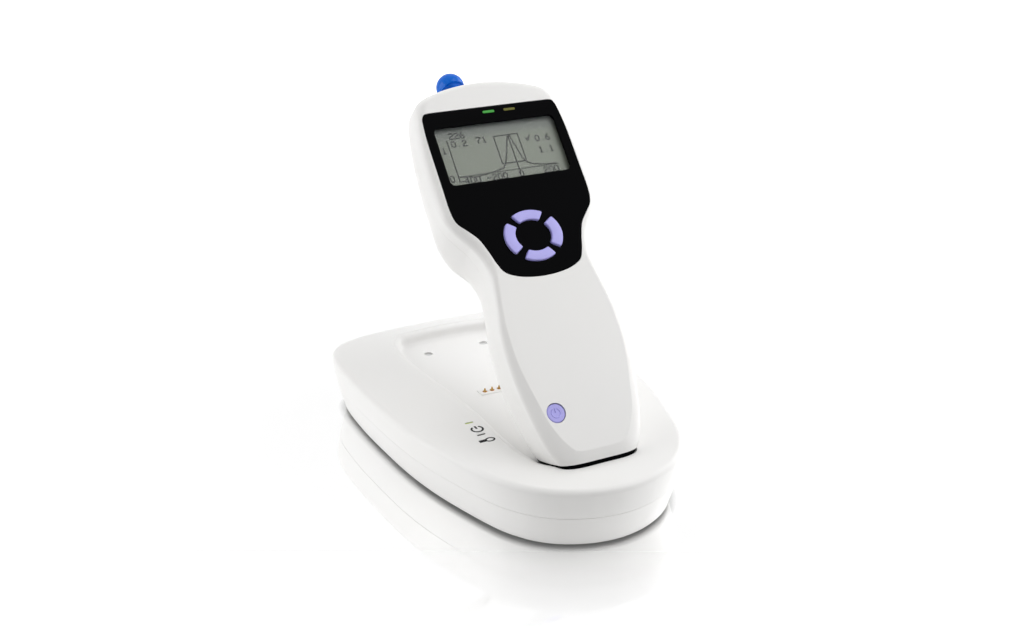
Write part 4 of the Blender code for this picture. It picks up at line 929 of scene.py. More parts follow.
def key_loop(turn, inset=0.0):
    """One quarter of the key ring with rounded corners, or a smaller copy of it for its rounded top."""
    middle = (RING_OUTER_RADIUS + RING_INNER_RADIUS) / 2
    half_depth = (RING_OUTER_RADIUS - RING_INNER_RADIUS) / 2 - inset
    half_length = key_span(turn) / 2 * middle - inset
    corner = min(max(KEY_CORNER - inset, 0.0), half_depth)
    reach = half_length - corner
    flat = [(half_depth, -reach + step / 14 * reach * 2) for step in range(1, 14)]
    loop = []
    for quarter, (depth_sign, length_sign) in enumerate(((1, -1), (1, 1), (-1, 1), (-1, -1))):
        start = math.pi / 2 * (quarter - 1)
        centre = (depth_sign * (half_depth - corner), length_sign * reach)
        loop += [tuple(p) for p in arc(centre, corner, start, start + math.pi / 2, 5)]
        if quarter == 0:
            loop += flat
        if quarter == 2:
            loop += [(-half_depth, -along) for _, along in flat]
    return [ring_point(middle + depth, turn + along / middle) for depth, along in loop]


def make_panel():
    steps = [(-inset, -drop) for inset, drop in rounding(PANEL_ROUND, 4)]
    panel = stacked("fascia", panel_loop(), [(0, -PANEL_THICKNESS), *steps], HANDSET)
    loops = [screen_loop(0.0)]
    loops += [grown(key_loop(turn), KEY_HOLE_GAP) for turn in KEY_TURNS.values()]
    loops += [light_loop(x, GAP / 3) for x in LIGHT_PLACES]
    cut(panel, *[cutter(loop, -PANEL_THICKNESS - OVERRUN, OVERRUN) for loop in loops])
    dressed(panel, "handset", "black_gloss", "display_panel", edge=PANEL_EDGE)


def make_keys():
    top = -PANEL_THICKNESS - GAP
    half_depth = (RING_OUTER_RADIUS - RING_INNER_RADIUS) / 2
    for name, turn in KEY_TURNS.items():
        flange = grown(key_loop(turn), KEY_FLANGE)
        rings = [ring(flange, top - KEY_FLANGE_THICKNESS), ring(flange, top)]
        rings += [ring(key_loop(turn), top), ring(key_loop(turn), KEY_STAND - KEY_EDGE)]
        for inset, drop in rounding(KEY_EDGE, 6)[1:]:
            rings.append(ring(key_loop(turn, inset), KEY_STAND - drop))
        for share in (0.4, 0.7, 0.98):
            inset = KEY_EDGE + (half_depth - KEY_EDGE) * share
            rings.append(ring(key_loop(turn, inset), KEY_STAND + KEY_DOME * share))
        key = lofted("ring_" + name, rings, HANDSET, capped=True)
        dressed(key, name, "key_purple", name, sharp=50)


def disc_profile(radius, low, high, edge, rise=0.0):
    """Profile of a disc with a rounded upper edge and a slightly domed or dished top."""
    side = [(radius - drop, high - inset) for inset, drop in rounding(edge, 5)]
    top = [((radius - edge) * share, high + rise * (1 - share**2)) for share in (0, 0.35, 0.7)]
    return top + side + [(radius, low), (0, low)]


def tube_along(name, points, radius):
    """A round bead along a path of points on the handset."""
    turns = whole_turn(10)
    rings = []
    for before, point, after in zip(points[:1] + points, points, points[1:] + points[-1:]):
        along = (after - before).normalized()
        side = along.cross(Vector((0, 0, 1))).normalized()
        up = side.cross(along)
        rings.append([point + (side * math.cos(a) + up * math.sin(a)) * radius for a in turns])
    return lofted(name, rings, HANDSET, capped=True)


MARK_OPENING = math.radians(32)  # to each side of the bar
MARK_BAR_SHARES = (0.15, 0.6, 1.15)
POWER_KEY_EDGE = 0.0006
POWER_KEY_DISH = 0.00012
POWER_MARK_SIZE = 0.0021
POWER_MARK_RADIUS = 0.00024
POWER_MARK_DEPTH = 0.00006


def power_mark(centre, size, z):
    """Paths of a power symbol: an open ring and its bar, upright along +Y."""
    middle = Vector((*centre, z))
    turns = [MARK_OPENING + (math.tau - MARK_OPENING * 2) * step / 28 for step in range(29)]
    ring_path = [middle + Vector((-math.sin(a), math.cos(a), 0)) * size for a in turns]
    return ring_path, [middle + Vector((0, size * share, 0)) for share in MARK_BAR_SHARES]


def make_power_key():
    x, y = POWER_KEY_PLACE
    top = face_level(y) - POWER_KEY_SINK
    flange_top = face_level(y) - SHELL_WALL - GAP * 2
    flange_low = flange_top - KEY_FLANGE_THICKNESS
    flange = POWER_KEY_RADIUS + KEY_FLANGE
    button = disc_profile(POWER_KEY_RADIUS, flange_top, top, POWER_KEY_EDGE, -POWER_KEY_DISH)
    profile = [*button[:-1], (flange, flange_top), (flange, flange_low), (0, flange_low)]
    pieces = [turned("power_button", profile, HANDSET @ Matrix.Translation((x, y, 0)))]
    for path in power_mark((x, y), POWER_MARK_SIZE, top - POWER_MARK_DEPTH):
        pieces.append(tube_along("mark", path, POWER_MARK_RADIUS))
    dressed(joined(pieces), "power_key", "key_purple", "power_key")


# Display graph, drawn as the dots of a small dot matrix


DOTS_ACROSS = 128
DOTS_HIGH = 60
DOT_SHARE = 1.45  # dots this wide run into each other
DIGITS = {
    "0": ("01110", "10001", "10001", "10001", "10001", "10001", "01110"),
    "1": ("00100", "01100", "00100", "00100", "00100", "00100", "01110"),
    "2": ("01110", "10001", "00001", "00110", "01000", "10000", "11111"),
    "4": ("00010", "00110", "01010", "10010", "11111", "00010", "00010"),
    "6": ("00110", "01000", "10000", "11110", "10001", "10001", "01110"),
    "7": ("11111", "00001", "00010", "00100", "01000", "01000", "01000"),
    "-": ("00000", "00000", "00000", "11111", "00000", "00000", "00000"),
    ".": ("00000", "00000", "00000", "00000", "00000", "00000", "00100"),
}
GRAPH_NUMBERS = (
    # number, column, row
    ("0", 1, 5),
    ("1", 2, 36),
    ("-400", 10, 1),
    ("-200", 40, 1),
    ("0", 76, 1),
    ("200", 104, 1),
    ("226", 14, 51),
    ("0.2", 14, 42),
    ("71", 42, 43),
    ("0.6", 106, 37),
    ("1.1", 106, 24),
)
GRAPH_AXIS_ROW = 9
GRAPH_AXIS_COLUMNS = range(10, 124, 2)
GRAPH_PATHS = (
    # upright axis, window round the peak, line through the peak, tick, response curve
    ((10, 4), (10, 50)),
    ((61, 48), (88, 48), (88, 17), (61, 17), (61, 48)),
    ((77, 4), (77, 48)),
    ((95, 42), (97, 39), (101, 46)),
    ((10, 9), (30, 7), (52, 10), (62, 13), (65, 18), (70, 30), (75, 44), (78, 48),
     (79, 44), (82, 33), (84, 22), (88, 15), (96, 12), (110, 10), (120, 10)),
)


def dots_line(start, end):
    (x0, y0), (x1, y1) = start, end
    steps = max(abs(x1 - x0), abs(y1 - y0)) + 1
    shares = [step / steps for step in range(steps)]
    return {(round(x0 + (x1 - x0) * share), round(y0 + (y1 - y0) * share)) for share in shares}


def dots_path(points):
    found = set()
    for start, end in zip(points, points[1:]):
        found |= dots_line(start, end)
    return found


def dots_text(text, x, y):
    found = set()
    for i, letter in enumerate(text):
        for row, line in enumerate(DIGITS[letter]):
            for column, dot in enumerate(line):
                if dot == "1":
                    found.add((x + i * 6 + column, y + 6 - row))
    return found


def graph_dots():
    dots = {(x, GRAPH_AXIS_ROW) for x in GRAPH_AXIS_COLUMNS}
    for path in GRAPH_PATHS:
        dots |= dots_path(path)
    for text, x, y in GRAPH_NUMBERS:
        dots |= dots_text(text, x, y)
    return sorted(dots)


def make_display():
    """Dark dots a hair above the display's ground."""
    top = -PANEL_THICKNESS - GAP * 2 - LENS_THICKNESS
    levels = (top - GAP / 3, top + GAP / 30)
    pitch = SCREEN_HALF_WIDTH * 2 / (DOTS_ACROSS + 6)
    left = -pitch * DOTS_ACROSS / 2
    foot = SCREEN_CENTRE_SHARE * HANDSET_LENGTH - pitch * DOTS_HIGH / 2
    half = pitch * DOT_SHARE / 2
    corners = [(-half, -half), (half, -half), (half, half), (-half, half)]
    bm = bmesh.new()
    for column, row in graph_dots():
        x = left + column * pitch
        y = foot + row * pitch
        skin(bm, [[(x + a, y + b, z) for a, b in corners] for z in levels], capped=True)
    dressed(built("display_dots", bm, HANDSET), "handset", "lcd_ink")


# Door, strip and screws


GRIP_COUNT = 5  # grooves in the battery door
GRIP_START_SHARE = 0.26
GRIP_PITCH = 0.0019
GRIP_HALF_WIDTH = 0.0085
GRIP_RADIUS = 0.00055
GRIP_LIFT = 0.0006  # how far a groove's ends come up, as the back curves there
PAD_RADIUS = 0.0013
PAD_STEPS = ((-0.0002, -0.00008), (0, 0.00005), (0, SHELL_WALL / 2))
THREAD_PITCH = 0.0006
THREAD_START = -0.0004
RECESS_HALF_LENGTH = 0.0014
RECESS_HALF_WIDTH = 0.0003
RECESS_FLOOR_SHARE = 0.35
# The screw's head, as shares of its radius and height
HEAD_SHARES = ((0, 0.98), (0.6, 1), (0.86, 0.82), (0.97, 0.5), (1, 0.15), (1, 0))


def back_piece(name, loop):
    """What lies inside a loop of the back's wall."""
    piece = walled(lofted(name, back_rings(start=-PARTING_DEPTH - GAP / 2), HANDSET))
    high = -PARTING_DEPTH - SHELL_WALL - OVERRUN / 2
    return keep_inside(piece, cutter(loop, -HEAD_DEPTH - OVERRUN, high))


def make_door():
    door = back_piece("handset_door", door_loop(-GAP / 2))
    columns = [step / 10 * GRIP_HALF_WIDTH for step in range(-10, 11)]
    grooves = []
    for number in range(GRIP_COUNT):
        y = BATTERY_CENTRE + DOOR_LENGTH * GRIP_START_SHARE + number * GRIP_PITCH
        row = [Vector((x, y, -HANDLE_DEPTH)) for x in columns]
        path = [Vector((x, y, z + GRIP_LIFT * (x / GRIP_HALF_WIDTH) ** 4)) for x, y, z in row]
        grooves.append(tube_along("cutter", path, GRIP_RADIUS))
    cut(door, joined(grooves))
    dressed(door, "battery_door", "white_plastic", "battery_door", edge=SHELL_EDGE)


def make_strip():
    strip = back_piece("charge_plate", strip_loop(-GAP / 2))
    dressed(strip, "handset", "grey_plastic", "charge_strip", edge=STRIP_EDGE)
    y = STRIP_SHARE * HANDSET_LENGTH
    steps = [(growth, back_level(y) + level) for growth, level in PAD_STEPS]
    loops = [circle_loop(PAD_RADIUS, (x, y), 32) for x in pin_columns()]
    pads = joined([stacked("pad", loop, steps, HANDSET) for loop in loops])
    dressed(pads, "handset", "gold").name = "charge_pads"


def fine_screw(name, place, level, reach, space, body, node):
    """Pan head with a cross recess, and a threaded shaft."""
    head = SCREW_HEAD_HEIGHT
    shaft = SCREW_SHAFT_RADIUS
    profile = [(SCREW_HEAD_RADIUS * across, head * up) for across, up in HEAD_SHARES]
    for number in range(int((reach - shaft) / THREAD_PITCH)):
        z = THREAD_START - number * THREAD_PITCH
        profile += [(shaft * 0.82, z), (shaft, z - THREAD_PITCH / 2)]
    profile += [(shaft * 0.5, -reach * 0.95), (0, -reach)]
    local = space @ Matrix.Translation((*place, level)) @ Matrix.Rotation(math.pi, 4, "X")
    made = turned(name, profile, local, sides=32)
    length, width = RECESS_HALF_LENGTH, RECESS_HALF_WIDTH
    corners = ((-length, -width), (length, -width), (length, width), (-length, width))
    for turn in (0, math.pi / 2):
        arm = [Matrix.Rotation(turn, 2) @ Vector(corner) for corner in corners]
        tip = [point * RECESS_FLOOR_SHARE for point in arm]
        rings = [ring(tip, head * RECESS_FLOOR_SHARE), ring(arm, head), ring(arm, head + GAP)]
        cut(made, lofted("cutter", rings, local, capped=True))
    dressed(made, body, "steel", node)


def make_screws():
    level = -PARTING_DEPTH - GAP * 1.5 - WELL_FLOOR
    for number, place in enumerate(case_screw_places(), 1):
        node = f"case_screw_{number}"
        fine_screw("fine_" + node, place, level, CASE_SCREW_LENGTH, HANDSET, "handset", node)
    level = BASE_BOSS_TOP - BASE_BOSS_FLOOR - GAP
    for number, share in enumerate(BASE_SCREW_SHARES, 1):
        node = f"base_screw_{number}"
        place = on_cradle(share)
        fine_screw("fine_" + node, place, level, BASE_SCREW_LENGTH, CRADLE, "cradle", node)


# Probe


COLLAR_ROUND = 0.0006
NOSE_ROUND = 0.0007
SPOUT_ROUND = 0.0003
NOTCH_COUNT = 18  # round the foot of the nose cone
NOTCH_RADIUS = 0.0005
NOTCH_OUTSET = 0.0002
NOTCH_HEIGHT = 0.0016
SKIRT_TURN = math.radians(25)  # how far the ear tip's dome comes down past its widest place
DOME_STEPS = 26
SKIRT_ROLL = 0.0003


def make_probe():
    reach = PROBE_BODY_REACH
    profile = [
        (PROBE_BORE_RADIUS, reach),
        (PROBE_BODY_RADIUS * 0.95, reach),
        (PROBE_BODY_RADIUS, reach - GAP * 3),
        (PROBE_BODY_RADIUS, -PROBE_BODY_ROOT),
        (PROBE_BORE_RADIUS, -PROBE_BODY_ROOT),
    ]
    collar = rounded_ring("probe_collar", profile, COLLAR_ROUND)
    dressed(collar, "handset", "white_plastic", "probe_body")
    low = reach + GAP
    make_nose(low)
    make_spout(low)
    make_ear_tip(low + NOSE_LENGTH + GAP)


def make_spout(low):
    bore = PROBE_BORE_RADIUS / 2
    shoulder = low + TIP_FLANGE_THICKNESS
    profile = [
        (bore, TIP_REACH),
        (TIP_RADIUS * 0.75, TIP_REACH),
        (TIP_RADIUS, TIP_REACH - TIP_RADIUS / 2),
        (TIP_RADIUS, shoulder),
        (TIP_FLANGE_RADIUS, shoulder),
        (TIP_FLANGE_RADIUS, low),
        (bore, low),
    ]
    spout = rounded_ring("probe_spout", profile, SPOUT_ROUND)
    dressed(spout, "handset", "grey_plastic", "probe_tip")


def make_nose(low):
    base, front, wall = NOSE_BASE_RADIUS, NOSE_FRONT_RADIUS, NOSE_WALL
    profile = [
        (base, low),
        (base, low + NOSE_LENGTH * 0.3),
        (base * 0.9, low + NOSE_LENGTH * 0.42),
        (front * 1.2, low + NOSE_LENGTH * 0.75),
        (front, low + NOSE_LENGTH),
        (front - wall * 0.7, low + NOSE_LENGTH),
        (front - wall, low + NOSE_LENGTH * 0.8),
        (base - wall, low + TIP_FLANGE_THICKNESS * 1.6),
        (base - wall, low),
    ]
    cone = rounded_ring("probe_nose", profile, NOSE_ROUND)
    places = circle_loop(base + NOTCH_OUTSET, sides=NOTCH_COUNT)
    cut(cone, cylinders(places, NOTCH_RADIUS, low - GAP, low + NOTCH_HEIGHT, PROBE, 12))
    dressed(cone, "nose_cone", "white_plastic", "nose_cone")


def make_ear_tip(low):
    """A soft mushroom: dome, a rolled skirt edge, the hollow under it, and a stem."""
    radius = EAR_TIP_RADIUS
    bore = TIP_RADIUS + GAP
    start = math.acos(bore / radius)
    turns = [start - (start + SKIRT_TURN) * step / DOME_STEPS for step in range(DOME_STEPS + 1)]
    dome = [(radius * math.cos(a), low + radius + radius * math.sin(a)) for a in turns]
    edge, height = dome[-1]
    stem = radius * EAR_TIP_WALL_SHARE
    under = [
        (edge * 0.985, height - SKIRT_ROLL),
        (edge * 0.95, height - SKIRT_ROLL),
        (edge * 0.9, height + SKIRT_ROLL / 3),
        (stem * 1.25, low + radius * 0.62),
        (stem * 1.02, low + radius * 0.55),
        (stem, low + radius * 0.4),
        (stem, low + SKIRT_ROLL * 2 / 3),
        (stem * 0.95, low),
        (bore, low),
    ]
    tip = turned("silicone_tip", dome + under, PROBE, closed=True)
    dressed(tip, "ear_tip", "blue_rubber", "ear_tip", sharp=60)


# Cradle


def wall_inset(z):
    return CRADLE_TUCK * (1 - min(z / CRADLE_HEIGHT, 1)) ** CRADLE_TUCK_POWER


def top_rings():
    loop = cradle_loop()
    low = CRADLE_SEAM_HEIGHT + CRADLE_SEAM / 2
    rim = CRADLE_HEIGHT - CRADLE_RIM_RADIUS
    rings = []
    for share in (0, 0.25, 0.5, 0.75, 1):
        z = low + (rim - low) * share
        rings.append(ring(grown(loop, -wall_inset(z)), z))
    for inset, drop in rounding(CRADLE_RIM_RADIUS, 8)[1:]:
        inner = grown(loop, -wall_inset(rim) - inset)
        rings.append(ring(inner, CRADLE_HEIGHT - drop))
    for share in (0.9, 0.8, 0.6, 0.4, 0.2, 0.0):
        crown = CRADLE_CROWN * (1 - share**2)
        rings.append(ring(to_spine(inner, share), CRADLE_HEIGHT + crown))
    return rings


def base_rings():
    loop = cradle_loop()
    high = CRADLE_SEAM_HEIGHT - CRADLE_SEAM / 2
    low = FOOT_STANDOFF + CRADLE_BOTTOM_RADIUS
    rings = [ring(to_spine(grown(loop, -CRADLE_TUCK * 2)), FOOT_STANDOFF)]
    for rise, inset in rounding(CRADLE_BOTTOM_RADIUS, 5):
        rings.append(ring(grown(loop, -wall_inset(low) - inset), FOOT_STANDOFF + rise))
    for share in (0.25, 0.5, 0.75, 1):
        z = low + (high - low) * share
        rings.append(ring(grown(loop, -wall_inset(z)), z))
    return rings


def block_loop(growth):
    half_width = PIN_PITCH * (PIN_COUNT - 1) / 2 + BLOCK_HALF_LENGTH
    half_length = BLOCK_HALF_LENGTH + growth
    return box_loop(half_width + growth, half_length, BLOCK_CORNER, (0, PIN_ROW), 6)


def tray_steps():
    """Rounded foot and lip of the tray's wall, as (growth, level) steps."""
    floor = CRADLE_HEIGHT - TRAY_DEPTH
    edge = TRAY_EDGE
    knots = [
        (-edge * 1.9, floor),
        (-edge * 1.3, floor + edge * 0.02),
        (-edge * 0.5, floor + edge * 0.25),
        (-edge * 0.15, floor + edge * 0.7),
        (0, CRADLE_HEIGHT - edge * 0.8),
        (edge * 0.3, CRADLE_HEIGHT - edge * 0.2),
        (edge * 0.9, CRADLE_HEIGHT + edge * 0.12),
        (edge * 1.5, CRADLE_HEIGHT + edge * 0.3),
        (edge * 0.9 + OVERRUN, CRADLE_HEIGHT + OVERRUN),
    ]
    bent = curve([Vector(knot) for knot in knots], 3)
    return [knots[0], *[tuple(point) for point in bent], knots[-2], knots[-1]]


def rest_pad_places():
    x, y = REST_PAD_PLACE
    return [(x, y), (-x, y)]


def make_cradle_top():
    top = walled(lofted("cradle_upper", top_rings(), CRADLE))
    under = CRADLE_HEIGHT - SHELL_WALL / 2
    floor = CRADLE_HEIGHT - TRAY_DEPTH
    tub = cutter(grown(tray_loop(), SHELL_WALL), floor - SHELL_WALL, under, CRADLE)
    pocket_tub = body_solid(POCKET_GAP + SHELL_WALL)
    side = CRADLE_HALF_WIDTH + OVERRUN
    keep_inside(pocket_tub, slab((-side, -side, 0), (side, CRADLE_LENGTH, under), CRADLE))
    join(top, tub, pocket_tub)
    pad_low = floor - REST_PAD_SINK - REST_PAD_THICKNESS
    block_low = floor - SHELL_WALL - OVERRUN
    lights = [
        bar_loop(CRADLE_LIGHT_LENGTH, CRADLE_LIGHT_WIDTH, on_cradle(share), GAP / 3)
        for share in CRADLE_LIGHT_SHARES
    ]
    cut(
        top,
        stacked("cutter", tray_loop(), tray_steps(), CRADLE),
        body_solid(POCKET_GAP),
        cutter(block_loop(GAP / 2), block_low, floor + OVERRUN, CRADLE),
        cylinders(rest_pad_places(), REST_PAD_RADIUS + GAP / 2, pad_low, floor + OVERRUN, CRADLE),
        *[cutter(loop, CRADLE_HEIGHT / 2, CRADLE_HEIGHT * 2, CRADLE) for loop in lights],
    )
    return dressed(top, "cradle", "white_plastic", "cradle_top", edge=CRADLE_EDGE, sharp=35)


def socket_low():
    return CHARGER_TOP - CHARGER_THICKNESS - GAP - SOCKET_HEIGHT


def make_cradle_base():
    base = walled(lofted("cradle_lower", base_rings(), CRADLE))
    screws = [on_cradle(share) for share in BASE_SCREW_SHARES]
    feet = [on_cradle(share) for share in PAD_FOOT_SHARES]
    boss_low = FOOT_STANDOFF + SHELL_WALL / 2
    join(base, cylinders(screws, BASE_BOSS_RADIUS, boss_low, BASE_BOSS_TOP, CRADLE))
    well_top = BASE_BOSS_TOP - BASE_BOSS_FLOOR
    foot_top = PAD_FOOT_THICKNESS + GAP
    head = SCREW_HEAD_RADIUS + GAP * 2
    shaft = SCREW_SHAFT_RADIUS + GAP
    cutters = [
        cylinders(screws, head, -OVERRUN, well_top, CRADLE),
        cylinders(screws, shaft, 0, BASE_BOSS_TOP + OVERRUN, CRADLE),
        cylinders(feet, PAD_FOOT_RADIUS + GAP, -OVERRUN, foot_top, CRADLE, 48),
    ]
    slot = DATA_SLOT_HEIGHT + DATA_SOCKET_WALL * 2
    for x, half, height in (
        (POWER_SOCKET_X, POWER_SOCKET_HALF_WIDTH, SOCKET_HEIGHT),
        (DATA_SOCKET_X, DATA_SOCKET_HALF_WIDTH, slot),
    ):
        low = (x - half - GAP, CRADLE_LENGTH - SOCKET_LENGTH, socket_low() - GAP)
        high = (x + half + GAP, CRADLE_LENGTH + OVERRUN, socket_low() + height + GAP)
        cutters.append(slab(low, high, CRADLE))
    cut(base, *cutters)
    dressed(base, "cradle", "white_plastic", "cradle_base", edge=CRADLE_EDGE, sharp=35)


PIN_FOOT = CHARGER_TOP + GAP + 0.001
# A pin's tip: radii in metres, heights as shares of PIN_STAND
PIN_PROFILE = (
    (0, 1), (0.0001, 1), (0.00024, 0.96), (0.00032, 0.88), (0.00042, 0.62), (0.00056, 0.36),
    (PIN_RADIUS * 0.9, 0.16), (PIN_RADIUS, 0.08),
)
COLLAR_WIDTH = 0.0001
COLLAR_PROFILE = ((-1, 0.00012), (0, 0.00012), (1, 0.00002), (1, -0.0002), (-1, -0.0002))
REST_PAD_EDGE = 0.0004
PAD_FOOT_EDGE = 0.0005


def pin_columns():
    return [PIN_PITCH * (number - (PIN_COUNT - 1) / 2) for number in range(PIN_COUNT)]


def make_contacts():
    top = CRADLE_HEIGHT - TRAY_DEPTH + BLOCK_STAND
    foot = PIN_FOOT - top
    profile = [(radius, PIN_STAND * share) for radius, share in PIN_PROFILE]
    profile += [(PIN_RADIUS, foot), (0, foot)]
    rim = PIN_RADIUS + GAP
    collar = [(rim + COLLAR_WIDTH * out, height) for out, height in COLLAR_PROFILE]
    collars = []
    for number, x in enumerate(pin_columns(), 1):
        local = CRADLE @ Matrix.Translation((x, PIN_ROW, top))
        node = f"contact_pin_{number}"
        pin = turned(f"sprung_pin_{number}", profile, local, sides=32)
        dressed(pin, node, "gold", node, sharp=50)
        collars.append(turned("collar", collar, local, closed=True, sides=32))
    dressed(joined(collars), "cradle", "copper").name = "pin_collars"


def make_pads_and_feet():
    top = CRADLE_HEIGHT - TRAY_DEPTH - REST_PAD_SINK
    profile = disc_profile(REST_PAD_RADIUS, top - REST_PAD_THICKNESS + GAP, top, REST_PAD_EDGE)
    for number, place in enumerate(rest_pad_places(), 1):
        pad = turned(f"tray_pad_{number}", profile, CRADLE @ Matrix.Translation((*place, 0)))
        dressed(pad, "cradle", "pad_grey", f"rest_pad_{number}")
    profile = disc_profile(PAD_FOOT_RADIUS, 0, PAD_FOOT_THICKNESS, PAD_FOOT_EDGE)
    flip = Matrix.Rotation(math.pi, 4, "X")
    for number, share in enumerate(PAD_FOOT_SHARES, 1):
        place = Matrix.Translation((*on_cradle(share), PAD_FOOT_THICKNESS))
        foot = turned(f"rubber_foot_{number}", profile, CRADLE @ place @ flip)
        dressed(foot, "cradle", "rubber_grey", f"foot_{number}")


INK_TOP = 0.00004
INK_UNDER = -0.0001
POWER_SYMBOL_PLACE = (0.0006, 0.0737)  # across from the lights, along the cradle
POWER_SYMBOL_SIZE = 0.0026
POWER_SYMBOL_STROKE = 0.0009
HANDSET_SYMBOL_PLACE = (0.0015, 0.0622)
HANDSET_SYMBOL_HEAD = (0.002, 0.0015)
HANDSET_SYMBOL_STROKE = 0.0008
HANDSET_SYMBOL_GRIP = (-0.0038, -0.0002, 0.0623)  # from, to, along the cradle
HANDSET_SYMBOL_GRIP_WIDTH = 0.0021


def band(path, width):
    """The two sides of a stroke along a path."""
    sides = ([], [])
    for i, point in enumerate(path):
        along = (path[min(i + 1, len(path) - 1)] - path[max(i - 1, 0)]).normalized()
        side = Vector((along.y, -along.x)) * width / 2
        sides[0].append(point + side)
        sides[1].append(point - side)
    return sides


def printed(name, strokes, surface):
    """Thin ink laid on a surface; each stroke is given by its two sides."""
    world = surface.matrix_world
    tree = BVHTree.FromObject(surface, bpy.context.evaluated_depsgraph_get())
    bm = bmesh.new()

    def laid(point, lift):
        start = world.inverted() @ (CRADLE @ Vector((point.x, point.y, CRADLE_HEIGHT * 2)))
        hit = tree.ray_cast(start, Vector((0, 0, -1)))[0]
        return world @ hit + Vector((0, 0, lift))

    for right, left in strokes:
        sides = ((right, INK_TOP), (left, INK_TOP), (left, INK_UNDER), (right, INK_UNDER))
        rows = [[laid(point, lift) for point in side] for side, lift in sides]
        skin(bm, list(zip(*rows)), capped=True)
    dressed(built(name, bm), "cradle", "ink")


def make_marks(surface):
    """A power symbol beside the upper light and a small handset symbol beside the lower one."""
    across = Vector((on_cradle(CRADLE_LIGHT_SHARES[1]).x, 0))
    paths = power_mark(across + Vector(POWER_SYMBOL_PLACE), POWER_SYMBOL_SIZE, 0)
    strokes = [band([point.xy for point in path], POWER_SYMBOL_STROKE) for path in paths]
    printed("power_symbol", strokes, surface)
    head = across + Vector(HANDSET_SYMBOL_PLACE)
    width, height = HANDSET_SYMBOL_HEAD
    turns = [*whole_turn(32), math.tau]
    oval = [head + Vector((width * math.cos(a), height * math.sin(a))) for a in turns]
    start, end, along = HANDSET_SYMBOL_GRIP
    grip = [across + Vector((start + (end - start) * step / 8, along)) for step in range(9)]
    strokes = [band(oval, HANDSET_SYMBOL_STROKE), band(grip, HANDSET_SYMBOL_GRIP_WIDTH)]
    printed("handset_symbol", strokes, surface)


# Stage


FLOOR_RADIUS = 2.5
FLOOR_GLOSS = 0.86
FLOOR_ROUGHNESS = 0.02
FLOOR_GLOW = (0.04, 0.8)  # near the object, far from it
GLOW_REACH = (0.12, 1.0)
FRONT_GLOW = 0.22  # added where the reflection has faded
REFLECTION_FADE = (0.06, 0.18)  # over this much of the floor, towards the view
TOWARDS_VIEW = (-0.459, -0.888, 0.0)
# Painted contact shade on the floor: how far it reaches, how steeply it falls off, and the tones of the
# floor's colours under it and clear of it
CONTACT_REACH = 0.0045
CONTACT_POWER = 1.5
SOFT_TONES = (0.4, 0.8)  # where something stands on the floor, and clear of it
GLOSS_TONES = (0.45, 1.0)


def make_floor():
    bm = bmesh.new()
    bmesh.ops.create_circle(bm, cap_ends=True, segments=96, radius=FLOOR_RADIUS)
    floor = built("floor", bm)
    floor.data.materials.append(floor_finish())
    floor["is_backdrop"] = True


def floor_finish():
    """A soft ground under gloss that fades towards the view, painted shade where something stands on
    it, and a glow for the camera's rays.
    """
    made = bpy.data.materials.new("floor")
    made.use_nodes = True
    made.node_tree.nodes.clear()
    nodes = Nodes(made.node_tree)
    soft = nodes.node("BsdfDiffuse")
    gloss = nodes.node("BsdfGlossy", {"Roughness": FLOOR_ROUGHNESS})
    # painted shade close to whatever stands on the floor
    paint_contact_shade(nodes, (soft, SOFT_TONES), (gloss, GLOSS_TONES))
    place = nodes.node("TexCoord").outputs["Object"]
    forward = nodes.node("VectorMath", {1: TOWARDS_VIEW}, operation="DOT_PRODUCT")
    away = nodes.node("VectorMath", operation="LENGTH")
    for step in (forward, away):
        nodes.link(place, step.inputs[0])
    ahead = forward.outputs["Value"]
    mix = nodes.node("MixShader")
    nodes.link(nodes.mapped(ahead, FLOOR_GLOSS, 0.0, *REFLECTION_FADE, True), mix.inputs["Fac"])
    nodes.link(soft.outputs[0], mix.inputs[1])
    nodes.link(gloss.outputs[0], mix.inputs[2])
    front = nodes.mapped(ahead, 0.0, FRONT_GLOW, *REFLECTION_FADE, True)
    far = nodes.mapped(away.outputs["Value"], *FLOOR_GLOW, *GLOW_REACH, True)
    seen = nodes.node("LightPath").outputs["Is Camera Ray"]
    glow = nodes.node("Emission", {"Color": WHITE})
    strength = nodes.maths("MULTIPLY", seen, nodes.maths("ADD", front, far))
    nodes.link(strength, glow.inputs["Strength"])
    total = nodes.node("AddShader")
    nodes.link(mix.outputs[0], total.inputs[0])
    nodes.link(glow.outputs[0], total.inputs[1])
    nodes.link(total.outputs[0], nodes.node("OutputMaterial").inputs["Surface"])
    return made


def paint_contact_shade(nodes, *shaders):
    """Painted shade: darkens the colours of the floor's shaders close to whatever stands on it."""
    shut_in = nodes.node("AmbientOcclusion", {"Distance": CONTACT_REACH}, samples=8)
    power = nodes.node("Math", {1: CONTACT_POWER}, operation="POWER")
    nodes.link(shut_in.outputs["AO"], power.inputs[0])
    for shader, (dark, light) in shaders:
        nodes.link(nodes.mapped(power.outputs[0], dark, light), shader.inputs["Color"])


WORLD_LIGHT = 0.2
LAMPS_AIM = (0, 0, 0.06)
LAMPS = (
    # name, place, width, watts, seen in reflections
    ("back", (-0.1, 0.7, 1.0), 1.0, 4.6, False),
    ("left", (-1.0, 0.35, 0.45), 0.8, 6.0, True),
    ("right", (1.0, 0.05, 0.5), 0.8, 5.0, True),
    ("right_front", (0.8, -0.8, 0.5), 0.8, 1.2, True),
    ("high", (0.5, -0.5, 1.1), 1.0, 7.1, True),
)


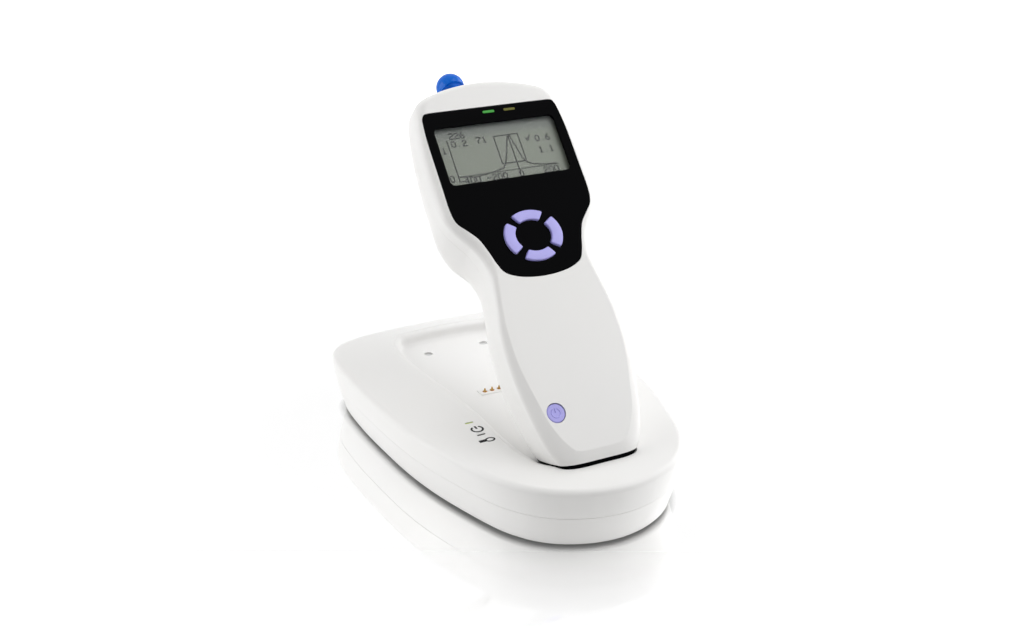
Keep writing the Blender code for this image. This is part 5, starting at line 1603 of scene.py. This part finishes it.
def make_world():
    """White to the camera, in reflections and through the lens; a dim light otherwise."""
    world = bpy.data.worlds.new("studio")
    bpy.context.scene.world = world
    world.use_nodes = True
    nodes = Nodes(world.node_tree)
    rays = nodes.node("LightPath").outputs
    seen = nodes.maths("MAXIMUM", rays["Is Camera Ray"], rays["Is Glossy Ray"])
    seen = nodes.maths("MAXIMUM", seen, rays["Is Transmission Ray"])
    back = world.node_tree.nodes["Background"]
    back.inputs["Color"].default_value = WHITE
    nodes.link(nodes.mapped(seen, WORLD_LIGHT, 1.0), back.inputs["Strength"])


def make_lamps():
    for name, place, width, watts, mirrored_too in LAMPS:
        data = bpy.data.lights.new(name, "AREA")
        data.shape = "SQUARE"
        data.size = width
        data.energy = watts
        lamp = plain(name, data)
        lamp.location = place
        lamp.visible_glossy = mirrored_too
        lamp.rotation_mode = "QUATERNION"
        lamp.rotation_quaternion = (Vector(LAMPS_AIM) - Vector(place)).to_track_quat("-Z", "Y")


# The camera, fitted to the photograph
LENS_LENGTH = 46.93
SENSOR_WIDTH = 36.0
CLIP_START = 0.01
CLIP_END = 20
CAMERA_PLACE = (-0.2658, -0.51435, 0.3099)
CAMERA_AZIMUTH = math.radians(-27.05)
CAMERA_ELEVATION = math.radians(22.38)


def make_camera():
    data = bpy.data.cameras.new("camera")
    data.lens = LENS_LENGTH
    data.sensor_width = SENSOR_WIDTH
    data.clip_start = CLIP_START
    data.clip_end = CLIP_END
    camera = plain("camera", data)
    camera.location = CAMERA_PLACE
    camera.rotation_euler = (math.pi / 2 - CAMERA_ELEVATION, 0, CAMERA_AZIMUTH)
    bpy.context.scene.camera = camera


make_camera()
finishes = make_finishes()
for row in frame["record"]["subparts"]:
    given(frame["nodes"][row["node"]].data, row["material_slot"])
given(frame["nodes"]["mains_light"].data, "pale_light")

make_front()
make_back()
make_foot_window()
make_panel()
make_keys()
make_power_key()
make_display()
make_door()
make_strip()
make_screws()
make_probe()
upper = make_cradle_top()
make_cradle_base()
make_contacts()
make_pads_and_feet()
make_marks(upper)
make_floor()
make_world()
make_lamps()
bpy.context.scene.view_settings.view_transform = "Standard"

boxes = {"cad": CAD_BOX, "visual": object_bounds()}
{key: [list(corner) for corner in box] for key, box in boxes.items()}
